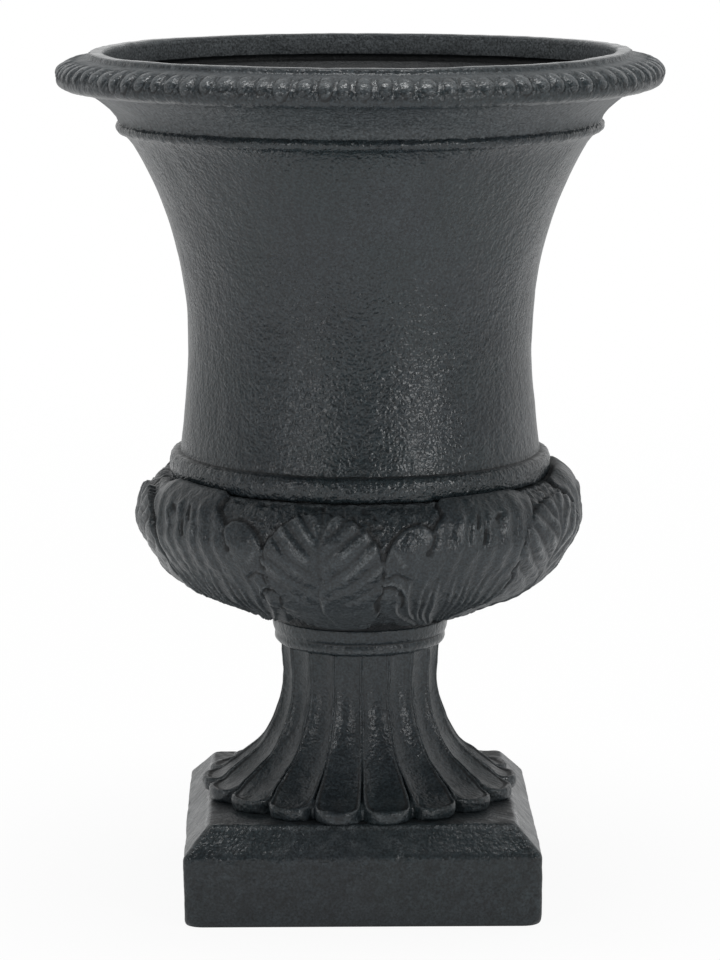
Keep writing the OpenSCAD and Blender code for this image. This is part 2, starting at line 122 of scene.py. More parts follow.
def lumps(points, size, seed=0):
    """Smooth lumps about size across at each point, from -1 to 1."""
    p = np.asarray(points, float) / size + 500.0
    i = np.floor(p).astype(np.int64)
    f = p - i
    f = f * f * f * (f * (f * 6.0 - 15.0) + 10.0)
    total = np.zeros(p.shape[:-1])
    for dx, dy, dz in np.ndindex(2, 2, 2):
        w = [f[..., k] if d else 1.0 - f[..., k] for k, d in enumerate((dx, dy, dz))]
        total += w[0] * w[1] * w[2] * lattice(i[..., 0] + dx, i[..., 1] + dy, i[..., 2] + dz, seed)
    return 2.0 * total - 1.0


def turns(count, start=FRONT):
    """Angles in degrees evenly round the axis, the first at the front."""
    return start + np.arange(count) * 360.0 / count


def from_nearest(a, a0, pitch):
    """Signed angle from the nearest of a0, a0 + pitch, a0 + 2 pitch ..."""
    return a - a0 - pitch * np.round((a - a0) / pitch)


def arc(r, z, radius_r, radius_z, start, end, count):
    """Points (r, z) on an ellipse about (r, z), start and end in degrees."""
    t = np.radians(np.linspace(start, end, count))
    return np.stack([r + radius_r * np.cos(t), z + radius_z * np.sin(t)], 1)


def distances(points):
    """How far along a line of points each of them lies."""
    steps = np.linalg.norm(np.diff(points, axis=0), axis=1)
    return np.concatenate([[0], np.cumsum(steps)])


def round_axis(r, degrees, z):
    """Points (x, y, z) at radii, angles in degrees and levels."""
    t = np.radians(degrees)
    return np.stack([r * np.cos(t), r * np.sin(t), z + 0 * t], -1)


def at_level(loop, z):
    """Points (x, y) of a loop, lifted to a level."""
    return np.column_stack([loop, np.full(len(loop), z)])


def outward(loop):
    """Unit vectors (x, y) from the axis toward each point of a loop."""
    plan = np.arctan2(loop[:, 1], loop[:, 0])
    return np.stack([np.cos(plan), np.sin(plan)], 1)


def drain_centre(angle):
    """Where the axis of the drain at an angle stands, (x, y)."""
    t = math.radians(angle)
    return DRAIN_CIRCLE_R * math.cos(t), DRAIN_CIRCLE_R * math.sin(t)


def smooth_through(points, params, at):
    """A smooth curve through points at params, read at the values at."""
    points, params = np.asarray(points, float), np.asarray(params, float)
    slope = np.gradient(points, params, axis=0)
    i = np.clip(np.searchsorted(params, at) - 1, 0, len(params) - 2)
    h = (params[i + 1] - params[i])[:, None]
    t = ((at - params[i]) / h[:, 0])[:, None]
    p0, p1, m0, m1 = points[i], points[i + 1], slope[i] * h, slope[i + 1] * h
    return ((2 * t**3 - 3 * t**2 + 1) * p0 + (t**3 - 2 * t**2 + t) * m0
            + (3 * t**2 - 2 * t**3) * p1 + (t**3 - t**2) * m1)


def section_normals(rows):
    """Unit normals (r, z) of a section line, to the right of its way."""
    d = np.gradient(np.asarray(rows, float), axis=0)
    n = np.stack([d[:, 1], -d[:, 0]], 1)
    return n / np.maximum(np.linalg.norm(n, axis=1), 1e-9)[:, None]


def revolved(rows, angles, height=None):
    """Rings of points round the axis from a section, raised along its normals by height."""
    rows = np.asarray(rows, float)
    h = np.zeros((len(rows), len(angles))) if height is None else height
    n = section_normals(rows)
    return round_axis(rows[:, :1] + n[:, :1] * h, angles[None, :], rows[:, 1:] + n[:, 1:] * h)


# ---------------------------------------------------------------- meshes

def link(name, data):
    """A new object of the scene from a mesh, lamp or camera."""
    made = bpy.data.objects.new(name, data)
    bpy.context.scene.collection.objects.link(made)
    return made


def mesh_object(name, points, faces, **values):
    """An object from points in millimetres, faces facing out, smooth, with values at points."""
    mesh = bpy.data.meshes.new(name)
    mesh.from_pydata(np.asarray(points, float) * MM, [], faces)
    mesh.validate()
    mesh.shade_smooth()
    for title, value in values.items():
        layer = mesh.attributes.new(title, "FLOAT", "POINT")
        layer.data.foreach_set("value", np.asarray(value, np.float32).ravel())
    return link(name, mesh)


def ring_faces(counts, closed):
    """Faces between rings of points; a ring may have twice or half as many as the one before."""
    first = np.concatenate([[0], np.cumsum(counts)])
    faces = []
    for p in range(len(counts) if closed else len(counts) - 1):
        q = (p + 1) % len(counts)
        a, n, b, m = first[p], counts[p], first[q], counts[q]
        i = np.arange(min(n, m))
        if n == m:
            strip = [a + i, a + (i + 1) % n, b + (i + 1) % n, b + i]
        elif m == 2 * n:
            strip = [a + i, a + (i + 1) % n, b + (2 * i + 2) % m, b + 2 * i + 1, b + 2 * i]
        else:
            strip = [a + 2 * i, a + 2 * i + 1, a + (2 * i + 2) % n, b + (i + 1) % m, b + i]
        faces += np.stack(strip, 1).tolist()
    return faces


def thinned(rings, steps):
    """Rings as a list, each with only every first, second or fourth of its points."""
    return [ring[::step] for ring, step in zip(rings, steps)]


def casting(name, rings, **values):
    """A closed skin through rings that go once round its section, out first and in last."""
    counts = [len(ring) for ring in rings]
    values = {title: np.concatenate([np.broadcast_to(row, n) for row, n in zip(rows, counts)])
              for title, rows in values.items()}
    return mesh_object(name, np.concatenate(list(rings)), ring_faces(counts, True), **values)


def dressed(piece, body, slot, *nodes):
    """Hands a finished piece to the frame: its body, its slot and finish, what it replaces."""
    piece.data.materials.clear()
    piece.data.materials.append(MATERIALS[slot])
    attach(piece, body)
    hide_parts(*nodes)


# ---------------------------------------------------------------- settings

class UrnShape(bpy.types.PropertyGroup):
    """Sizes of the hand-finished surface"""
    lump_depth: bpy.props.FloatProperty(
        name="Lump depth", description="Height of the trowelled lumps on the castings",
        default=0.45 * MM, min=0.0, max=2 * MM, unit="LENGTH")
    rib_depth: bpy.props.FloatProperty(
        name="Rib depth", description="Depth of the ribs round the rim",
        default=3.3 * MM, min=0.0, max=4 * MM, unit="LENGTH")
    leaf_height: bpy.props.FloatProperty(
        name="Leaf height", description="How far the leaves stand out from the bowl",
        default=6.0 * MM, min=2 * MM, max=9 * MM, unit="LENGTH")


class UrnFinish(bpy.types.PropertyGroup):
    """Colours of the finishes"""
    stone: bpy.props.FloatVectorProperty(
        name="Slate wash", description="Main colour of the castings", subtype="COLOR",
        size=3, default=(0.017, 0.0230, 0.0275), min=0, max=1)
    stone_light: bpy.props.FloatVectorProperty(
        name="Rubbed slate", description="Colour where the wash is thin", subtype="COLOR",
        size=3, default=(0.040, 0.051, 0.058), min=0, max=1)
    # Painted shade: the colour laid in the hollows and pits, where shade falls.
    stone_shade: bpy.props.FloatVectorProperty(
        name="Deep slate", description="Colour in the hollows", subtype="COLOR",
        size=3, default=(0.0062, 0.0076, 0.0088), min=0, max=1)
    # Painted light, not rubbing or a missing sealer: the colour laid as a highlight on crests and
    # as light in shaded places.
    stone_painted_light: bpy.props.FloatVectorProperty(
        name="Dry slate", description="Colour on rubbed crests and where no sealer lies",
        subtype="COLOR", size=3, default=(0.080, 0.090, 0.096), min=0, max=1)
    steel: bpy.props.FloatVectorProperty(
        name="Zinc", description="Colour of the plated steel", subtype="COLOR",
        size=3, default=(0.50, 0.51, 0.53), min=0, max=1)
    rubber: bpy.props.FloatVectorProperty(
        name="Rubber", description="Colour of seals and plugs", subtype="COLOR",
        size=3, default=(0.022, 0.022, 0.023), min=0, max=1)
    bush: bpy.props.FloatVectorProperty(
        name="Bush", description="Colour of the drain bushes", subtype="COLOR",
        size=3, default=(0.085, 0.086, 0.088), min=0, max=1)


class UrnStage(bpy.types.PropertyGroup):
    """Light and floor"""
    key: bpy.props.FloatProperty(
        name="Right light", description="Power of the soft panel at the front right", default=13.0,
        min=0.0, max=400.0, subtype="POWER", unit="POWER")
    fill: bpy.props.FloatProperty(
        name="Left light", description="Power of the soft panel at the front left", default=8.0,
        min=0.0, max=400.0, subtype="POWER", unit="POWER")
    top: bpy.props.FloatProperty(
        name="Top light", description="Power of the soft panel overhead", default=19.0,
        min=0.0, max=400.0, subtype="POWER", unit="POWER")
    floor: bpy.props.FloatVectorProperty(
        name="Floor", description="Colour of the floor", subtype="COLOR",
        size=3, default=(0.92, 0.92, 0.92), min=0, max=1)


# ---------------------------------------------------------------- finishes

class Web:
    """Adds nodes to one node tree and joins them."""

    def __init__(self, tree):
        self.tree = tree

    def add(self, kind, inputs=None, **settings):
        """A node with its settings, and inputs given as numbers or as sockets to join."""
        node = self.tree.nodes.new(kind)
        for key, value in settings.items():
            setattr(node, key, value)
        for key, value in (inputs or {}).items():
            self.feed(node.inputs[key], value)
        return node

    def feed(self, socket, value):
        """Sets a socket to a number or colour, or joins an output to it."""
        if isinstance(value, bpy.types.NodeSocket):
            self.tree.links.new(value, socket)
        elif isinstance(value, tuple) and len(value) == 3 and socket.type == "RGBA":
            socket.default_value = (*value, 1.0)
        else:
            socket.default_value = value

    def math(self, how, a, b=0.0, c=0.0):
        """The result of one Math node."""
        return self.add("ShaderNodeMath", {0: a, 1: b, 2: c}, operation=how).outputs[0]

    def given(self, name):
        """The value that the mesh holds at its points under a name."""
        return self.add("ShaderNodeAttribute", attribute_name=name).outputs["Fac"]

    def blend(self, factor, a, b, how="MIX"):
        """A colour between a and b."""
        node = self.add("ShaderNodeMix", None, data_type="RGBA", blend_type=how)
        self.feed(node.inputs[0], factor)
        self.feed(node.inputs[6], a)
        self.feed(node.inputs[7], b)
        return node.outputs[2]

    def ramp(self, value, low, high, out_low=0.0, out_high=1.0):
        """value taken from low..high to out_low..out_high with soft ends."""
        node = self.add("ShaderNodeMapRange", {
            "Value": value, "From Min": low, "From Max": high,
            "To Min": out_low, "To Max": out_high}, interpolation_type="SMOOTHSTEP")
        return node.outputs["Result"]

    def place(self, scale=(1.0, 1.0, 1.0)):
        """Coordinates of the piece in metres, stretched by scale."""
        coords = self.add("ShaderNodeTexCoord").outputs["Object"]
        return self.add("ShaderNodeMapping", {"Vector": coords, "Scale": scale}).outputs[0]

    def noise(self, vector, scale, detail=3.0, rough=0.55):
        """Soft noise from 0 to 1."""
        node = self.add("ShaderNodeTexNoise", {
            "Vector": vector, "Scale": scale, "Detail": detail, "Roughness": rough})
        return node.outputs[0]


def group(name, inputs, outputs):
    """A new shader node group with named sockets: (web, input socket by name, output node)."""
    tree = bpy.data.node_groups.new(name, "ShaderNodeTree")
    for title, kind, value in inputs:
        socket = tree.interface.new_socket(title, in_out="INPUT", socket_type=kind)
        socket.default_value = value
    for title, kind in outputs:
        tree.interface.new_socket(title, in_out="OUTPUT", socket_type=kind)
    web = Web(tree)
    entry = web.add("NodeGroupInput")
    leave = web.add("NodeGroupOutput")
    return web, entry.outputs, leave


def grain_group():
    """Fine bumps of a cast or moulded surface, with small pits."""
    web, given, out = group("cast_grain", [
        ("Size", "NodeSocketFloat", 0.002), ("Stretch", "NodeSocketFloat", 1.0),
        ("Pits", "NodeSocketFloat", 0.5)],
        [("Height", "NodeSocketFloat"), ("Pit mask", "NodeSocketFloat")])
    coords = web.add("ShaderNodeTexCoord").outputs["Object"]
    scale = web.add("ShaderNodeCombineXYZ", {"X": 1.0, "Y": 1.0, "Z": given["Stretch"]})
    stretched = web.add("ShaderNodeVectorMath", {0: coords, 1: scale.outputs[0]},
                        operation="MULTIPLY").outputs[0]
    frequency = web.math("DIVIDE", 1.0, given["Size"])
    fine = web.noise(stretched, frequency, 4.0, 0.6)
    coarse = web.noise(stretched, web.math("MULTIPLY", frequency, 0.27), 2.0, 0.5)
    cells = web.add("ShaderNodeTexVoronoi", {
        "Vector": coords, "Scale": web.math("MULTIPLY", frequency, 0.16)})
    pit = web.ramp(cells.outputs["Distance"], 0.16, 0.05)
    keep = web.ramp(web.noise(coords, web.math("MULTIPLY", frequency, 0.05), 1.0), 0.5, 0.62)
    pit = web.math("MULTIPLY", web.math("MULTIPLY", pit, keep), given["Pits"])
    body = web.math("MULTIPLY_ADD", coarse, 0.9, web.math("MULTIPLY", fine, 0.6))
    web.feed(out.inputs["Height"], web.math("SUBTRACT", body, pit))
    web.feed(out.inputs["Pit mask"], pit)
    return web.tree


def dust_group():
    """Dry dust on what faces up, thicker where the noise lets it lie."""
    web, given, out = group("settled_dust", [
        ("Colour", "NodeSocketColor", (0.1, 0.1, 0.1, 1)),
        ("Dust", "NodeSocketColor", (0.2, 0.2, 0.2, 1)),
        ("Amount", "NodeSocketFloat", 0.3)],
        [("Colour", "NodeSocketColor"), ("Mask", "NodeSocketFloat")])
    normal = web.add("ShaderNodeNewGeometry").outputs["Normal"]
    up = web.add("ShaderNodeSeparateXYZ", {0: normal}).outputs["Z"]
    up = web.ramp(up, 0.25, 0.95)
    cloud = web.ramp(web.noise(web.place(), 55.0, 4.0, 0.6), 0.38, 0.68)
    mask = web.math("MULTIPLY", web.math("MULTIPLY", up, cloud), given["Amount"])
    web.feed(out.inputs["Colour"], web.blend(mask, given["Colour"], given["Dust"]))
    web.feed(out.inputs["Mask"], mask)
    return web.tree


def group_node(web, tree, **inputs):
    """A placed group with its own values."""
    node = web.add("ShaderNodeGroup", node_tree=tree)
    for key, value in inputs.items():
        web.feed(node.inputs[key], value)
    return node


def new_material(name, colour, rough, metallic=0.0):
    """A material with its Principled shader: (material, web, shader)."""
    material = bpy.data.materials.new(name)
    material.use_nodes = True
    material.node_tree.nodes.clear()
    web = Web(material.node_tree)
    shader = web.add("ShaderNodeBsdfPrincipled", {
        "Base Color": tuple(colour), "Roughness": rough, "Metallic": metallic})
    out = web.add("ShaderNodeOutputMaterial")
    material.node_tree.links.new(shader.outputs[0], out.inputs[0])
    material.diffuse_color = (*colour, 1.0)
    return material, web, shader


def bumped(web, shader, height, strength, distance):
    """Joins a height to the shader's normal."""
    bump = web.add("ShaderNodeBump", {
        "Height": height, "Strength": strength, "Distance": distance})
    web.feed(shader.inputs["Normal"], bump.outputs[0])


def dusted(web, shader, dust, kind, colour, amount):
    """Gives the shader its colour under settled dust, and says where the dust lies."""
    powder = group_node(web, dust, Colour=colour, Dust=DUST_ON[kind], Amount=amount)
    web.feed(shader.inputs["Base Color"], powder.outputs["Colour"])
    return powder.outputs["Mask"]


def stone_material(finish, grain, dust):
    """Cast stone under a dark slate wash and a satin sealer, with painted light and shade in its
    colour.
    """
    material, web, shader = new_material("cast_stone", finish.stone, 0.34)
    here = web.place()
    relief = web.given("relief")
    patches = web.noise(here, 16.0, 4.0, 0.62)
    streaks = web.noise(web.place((60.0, 60.0, 9.0)), 1.0, 3.0, 0.6)
    mottle = web.noise(here, 330.0, 4.0, 0.68)
    cast = group_node(web, grain, Size=0.0022, Stretch=0.8, Pits=0.35)
    # Painted shade and highlight: the mesh's shading value below zero darkens the hollows, above
    # zero it paints the crests lighter.
    hollow = web.ramp(relief, -0.05, -0.85)
    crest = web.ramp(relief, 0.12, 0.95)

    light = web.math("MULTIPLY_ADD", web.ramp(patches, 0.36, 0.70), 0.26,
                     web.math("MULTIPLY", web.ramp(streaks, 0.45, 0.75), 0.14))
    light = web.math("ADD", light, web.math("MULTIPLY", web.ramp(mottle, 0.48, 0.70), 0.42))
    colour = web.blend(light, tuple(finish.stone), tuple(finish.stone_light))
    tint = web.ramp(web.noise(here, 9.0, 2.0), 0.42, 0.62)
    colour = web.blend(web.math("MULTIPLY", tint, 0.35), colour, STONE_TINT)
    # Painted light: the mesh's fill value lightens shaded places toward the lighter slate and
    # roughens them; below zero it only makes the surface glossier.
    dry = web.given("dry")
    # Painted highlight on the crests, joined by the painted light laid in shaded places.
    wear_and_painted_light = web.math("MULTIPLY", crest, web.ramp(mottle, 0.30, 0.62, 0.45, 0.85))
    painted_fill_mask = web.math("MULTIPLY", dry, web.ramp(mottle, 0.3, 0.7, 0.4, 1.1))
    wear_and_painted_light = web.math("MAXIMUM", wear_and_painted_light, painted_fill_mask)
    colour = web.blend(wear_and_painted_light, colour, tuple(finish.stone_painted_light))
    # Painted shade in the hollows and in the pits of the grain.
    colour = web.blend(web.math("MULTIPLY", hollow, 0.92), colour, tuple(finish.stone_shade))
    colour = web.blend(web.math("MULTIPLY", cast.outputs["Pit mask"], 0.7), colour,
                       tuple(finish.stone_shade))
    speck = web.ramp(web.noise(here, 520.0, 2.0, 0.6), 0.30, 0.70, 0.45, 1.55)
    colour = web.blend(1.0, colour, speck, "MULTIPLY")
    powder = dusted(web, shader, dust, "stone", colour, 0.14)

    gloss = web.ramp(web.noise(here, 11.0, 3.0, 0.6), 0.38, 0.66)
    rough = web.math("MULTIPLY_ADD", gloss, -0.06, 0.30)
    rough = web.math("MULTIPLY_ADD", mottle, 0.06, web.math("SUBTRACT", rough, 0.02))
    rough = web.math("ADD", rough, web.math("MULTIPLY", web.math("MAXIMUM", hollow, dry), 0.25))
    rough = web.math("MULTIPLY_ADD", powder, 0.5, rough)
    rough = web.math("MULTIPLY_ADD", crest, -0.07, rough)
    rough = web.math("MULTIPLY_ADD", web.math("MINIMUM", dry, 0.0), 0.25, rough)
    skin = web.given("skin")
    plain = web.math("SUBTRACT", 1.0, skin)
    web.feed(shader.inputs["Roughness"], web.math("MULTIPLY_ADD", plain, 0.16, rough))

    trowel = web.noise(web.place((1.0, 1.0, 0.85)), 115.0, 1.0, 0.5)
    worked = web.noise(here, 300.0, 1.3, 0.5)
    wrinkle = web.math("ABSOLUTE", web.math("SUBTRACT", web.noise(here, 250.0, 0.5, 0.5), 0.5))
    height = web.math("MULTIPLY_ADD", trowel, 0.44, web.math("MULTIPLY", worked, 0.38))
    height = web.math("MULTIPLY_ADD", wrinkle, 0.50, height)
    height = web.math("MULTIPLY_ADD", cast.outputs["Height"], 0.05, height)
    height = web.math("MULTIPLY", height, skin)
    bumped(web, shader, height, 1.0, 0.0021)
    return material


def rubber_material(name, colour, grain, dust):
    """Matt black rubber or sealant with a fine moulded skin."""
    material, web, shader = new_material(name, colour, 0.6)
    skin = group_node(web, grain, Size=0.0012, Stretch=1.0, Pits=0.4)
    cloud = web.noise(web.place(), 140.0, 3.0)
    base = web.blend(cloud, tuple(c * 0.8 for c in colour), tuple(c * 1.5 for c in colour))
    dusted(web, shader, dust, "rubber", base, 0.35)
    web.feed(shader.inputs["Roughness"], web.ramp(cloud, 0.3, 0.7, 0.52, 0.72))
    bumped(web, shader, skin.outputs["Height"], 0.5, 0.0003)
    return material


def steel_material(colour, grain, dust):
    """Dull zinc-plated steel with spangle and handling marks."""
    material, web, shader = new_material("rod_steel", colour, 0.42, 1.0)
    spangle = web.add("ShaderNodeTexVoronoi", {"Vector": web.place(), "Scale": 420.0})
    marks = web.noise(web.place((1.0, 1.0, 0.15)), 500.0, 3.0)
    tone = web.math("MULTIPLY_ADD", spangle.outputs["Color"], 0.35, 0.4)
    base = web.blend(tone, tuple(c * 0.72 for c in colour), tuple(colour))
    dusted(web, shader, dust, "steel", base, 0.25)
    rough = web.math("MULTIPLY_ADD", marks, 0.28, 0.28)
    web.feed(shader.inputs["Roughness"], rough)
    skin = group_node(web, grain, Size=0.0009, Stretch=0.3, Pits=0.2)
    bumped(web, shader, skin.outputs["Height"], 0.35, 0.00015)
    return material


def plastic_material(colour, grain, dust):
    """Matt moulded plastic, slightly scuffed."""
    material, web, shader = new_material("bush_plastic", colour, 0.5)
    skin = group_node(web, grain, Size=0.0008, Stretch=1.0, Pits=0.1)
    scuff = web.noise(web.place(), 260.0, 4.0, 0.7)
    base = web.blend(web.ramp(scuff, 0.5, 0.75), tuple(colour), tuple(c * 1.6 for c in colour))
    dusted(web, shader, dust, "plastic", base, 0.3)
    web.feed(shader.inputs["Roughness"], web.ramp(scuff, 0.35, 0.7, 0.42, 0.62))
    bumped(web, shader, skin.outputs["Height"], 0.4, 0.0002)
    return material


# Every finish under the name of its slot, once it is made
MATERIALS = {}


class URN_OT_finishes(bpy.types.Operator):
    """Makes the finishes and gives them to the CAD nodes that stay in view"""
    bl_idname = "urn.finishes"
    bl_label = "Finishes"

    def execute(self, context):
        finish = context.scene.urn_finish
        grain, dust = grain_group(), dust_group()
        MATERIALS["cast_stone"] = stone_material(finish, grain, dust)
        for name, colour in (("bedding", BEDDING),
                             ("seal_rubber", [c * 0.9 for c in finish.rubber]),
                             ("plug_rubber", finish.rubber)):
            MATERIALS[name] = rubber_material(name, tuple(colour), grain, dust)
        MATERIALS["rod_steel"] = steel_material(tuple(finish.steel), grain, dust)
        MATERIALS["bush_plastic"] = plastic_material(tuple(finish.bush), grain, dust)
        slots = {p["node"]: p["material_slot"] for p in frame["record"]["subparts"]}
        for name, node in frame["nodes"].items():
            node.data.materials.clear()
            node.data.materials.append(MATERIALS[slots[name]])
        return {"FINISHED"}


# ---------------------------------------------------------------- flared body

def wall_r(z):
    """Outer radius of the body's wall at a level."""
    below = np.maximum(0, (WAIST_Z - z) / (WAIST_Z - WALL_Z))
    above = np.maximum(0, (z - WAIST_Z) / (FLARE_Z - WAIST_Z))
    low = WAIST_R + (WALL_FOOT_R - WAIST_R) * below ** 1.4
    high = WAIST_R + (FLARE_R - WAIST_R) * above ** 2.3
    return np.where(z < WAIST_Z, low, high)


# The rim moulding from its foot: share of its depth, share of its height, how deep it is cut
RIM_ROWS = [[0.50, 0, 0.15], [0.80, 0.10, 0.4], [0.95, 0.26, 0.75], [1, 0.42, 1], [0.955, 0.58, 1],
            [0.83, 0.72, 1], [0.58, 0.87, 0.9], [0.22, 0.98, 0.4], [-0.10, 1, 0]]
RIB_COLUMNS = 14


def rim_line(count):
    """Section of the rim moulding, as rows of (r, z, how deep the ribs are cut)."""
    rows = np.array(RIM_ROWS)
    line_rz = np.stack([RIM_R - RIM_DEPTH * (1 - rows[:, 0]), RIM_Z + RIM_H * rows[:, 1]], 1)
    along = distances(line_rz)
    at = np.linspace(0, along[-1], count)
    cut = np.interp(at, along, rows[:, 2])
    return np.column_stack([smooth_through(line_rz, along, at), cut])


def body_section():
    """The body's whole section from the bore at the bottom, out, up and in again."""
    z = np.concatenate([[385.6, 387.0, 390.0], np.linspace(396.0, 650.0, 37), [655.0, 658.2]])
    wall = np.column_stack([wall_r(z) + 2.4 * np.maximum(0, (z - 646) / 12) ** 2, z])
    rim = rim_line(23)
    t = np.radians(np.linspace(-84, 76, 12))
    turned_in = np.where(t < 0, 0.20, 0.42)
    roll = np.column_stack([156 + 8 * np.cos(t) ** turned_in, 375.25 + 9.75 * np.sin(t)])
    roll[:3, 1] -= [0.45, 0.35, 0.2]
    parts = [
        ("under", np.array([[JOINT_BORE_R, BODY_Z], [155.0, BODY_Z]])),
        ("roll", roll),
        ("wall", wall),
        ("bead", np.array([[202.0, 659.2], [204.9, 660.0], [206.8, 661.6], [207.7, 663.7],
                           [207.8, 665.6], [207.1, 667.1], [206.0, 668.1], [205.4, 668.8]])),
        ("cavetto", np.array([[205.5 + 29.5 * t**1.5, 669.3 + 26.9 * t]
                              for t in np.linspace(0.0, 1, 8)])),
        ("rim", rim[:, :2]),
        ("lip", np.array([[231.3, 723.0], [230.6, 724.6], [229.9, 726.6],
                          [228.4, TOP_Z], [223.5, 727.6], [219.2, 727.4], [217.4, 726.2]])),
        ("inside", np.array([[MOUTH_R, 722.0], [MOUTH_R, 710.0], [217.4, LEDGE_Z], [220.6, 708.8],
                             [220.6, 704.0], [208.4, 693.0], [198.6, 684.0], [189.9, 673.0],
                             [184.0, 658.0]])),
    ]
    z = np.array([630.0, 600.0, 565.0, 525.0, 485.0, 445.0, 410.0])
    parts.append(("inside", np.column_stack([wall_r(z) - BODY_WALL, z])))
    parts.append(("inside", np.array([[JOINT_BORE_R, 392.0], [JOINT_BORE_R, 368.0]])))
    rows = np.concatenate([p for _, p in parts])
    kinds = np.concatenate([[name] * len(p) for name, p in parts])
    depth = np.zeros(len(rows))
    depth[kinds == "rim"] = rim[:, 2]
    return rows, kinds, depth


def egg_shape(u, q, which):
    """An egg of the rim with the raised line round it: height, and painted light and shade (egg
    and line lighter, moat darker), from -1 to 1.
    """
    jitter = [lattice(which, 0 * which, 0 * which, seed) - 0.5 for seed in (41, 42, 43, 44)]
    reach = 0.29 + 0.15 * jitter[0]
    d = np.hypot((u + 0.12 * jitter[1]) / (0.385 + 0.12 * jitter[3]),
                 (q - 0.62 - 0.12 * jitter[2]) / reach)
    egg = np.sqrt(np.maximum(0, 1 - d * d))
    border = bump(d - 1.22, 0.10) * ease((q - 0.20) / 0.2)
    moat = bump(d - 1.02, 0.09)
    low = 0.32 * ease((0.34 - q) / 0.12)
    height = np.maximum(np.maximum(egg, 0.50 * border), low) - 1.0
    return height, 1.1 * egg + 1.2 * border - (0.9 + 0.6 * jitter[0]) * moat - 0.12


def body_height(rows, kinds, depth, angles, shape):
    """Height of the hand-made surface over the body's section, and the light and shade painted on
    it, from -1 to 1.
    """
    a = angles[None, :]
    at = revolved(rows, angles)
    lump = shape.lump_depth / MM
    soft = lumps(at, 46.0, 1) * 0.9 + lumps(at * [1, 1, 0.8], 17.0, 2) * 0.55
    fine = lumps(at * [1, 1, 0.9], 7.5, 3)
    h = lump * (soft + 0.35 * fine)
    gain = np.select([kinds == "wall", kinds == "inside", kinds == "under", kinds == "lip"],
                     [1.0, 1.3, 0.0, 0.9], 0.8)
    h = h * gain[:, None]
    place = a + 0.30 * lumps(round_axis(9, a, 0), 1.0, 5)
    place = place + (rows[:, 1] - LEDGE_Z)[:, None] * 0.016 * lumps(at, 190.0, 6)
    pitch = 360.0 / RIM_RIBS
    u = from_nearest(place, FRONT, pitch) / pitch
    which = (np.round((place - FRONT) / pitch).astype(np.int64)) % RIM_RIBS
    q = np.zeros(len(rows))
    q[kinds == "rim"] = np.linspace(0, 1, int((kinds == "rim").sum()))
    cut, shade = egg_shape(u, q[:, None], which)
    crust = lumps(at, 3.4, 8)
    rough = 0.6 * crust + 0.5 * fine
    cut = cut * depth[:, None] * (0.92 + 0.30 * lumps(at, 38.0, 7))
    rimmed = depth[:, None] > 0.05
    level, flat_top = rows[:, 1], TOP_Z - 0.5
    ledge = (kinds == "rim") | ((kinds == "lip") & (level < flat_top)) | (kinds == "cavetto")
    h = h + cut * shape.rib_depth / MM + np.where(ledge, 0.38, 0)[:, None] * rough
    # Painted light and shade: eggs and their raised lines lighter and moats darker, the crust
    # lumps lighter on top, the rim's lower edge lighter; darker under the roll, at the wall's
    # foot, over the bead and inside under the ledge; the lip's top a painted highlight.
    relief = np.where(rimmed, shade * np.minimum(1, depth[:, None] * 1.4), 0.2 * fine)
    relief = relief + np.where(ledge, 0.42, 0.12)[:, None] * crust
    relief[(kinds == "rim") & (level < RIM_Z + 2.5)] += 0.35
    relief[(kinds == "under") | ((kinds == "roll") & (level < BODY_Z - 0.1))] = -0.4
    relief[(kinds == "wall") & (level < WALL_Z + 1.5)] = -0.8
    relief[(kinds == "cavetto") & (level < 670.5)] -= 0.15
    relief[(kinds == "lip") & (level > flat_top)] = 0.5
    relief[(kinds == "inside") & (level < LEDGE_Z + 0.5)] = -0.75
    ragged = -np.abs(0.7 * lumps(at, 5.0, 9) + 0.5 * lumps(at, 14.0, 10))
    h = h + np.where((kinds == "roll") & (level < BODY_Z + 4.5), 0.6, 0.0)[:, None] * ragged
    h = h + np.where(np.isin(kinds, ("roll", "bead")), 0.45, 0.0)[:, None] * lumps(at, 4.2, 12)
    return h, relief


def lip_wave(angles):
    """The rim isn't quite level: how much higher it is at each angle, in millimetres."""
    a = np.radians(angles)
    return 0.9 * np.cos(a - math.radians(35)) + 0.5 * np.sin(3 * a + 1.1)


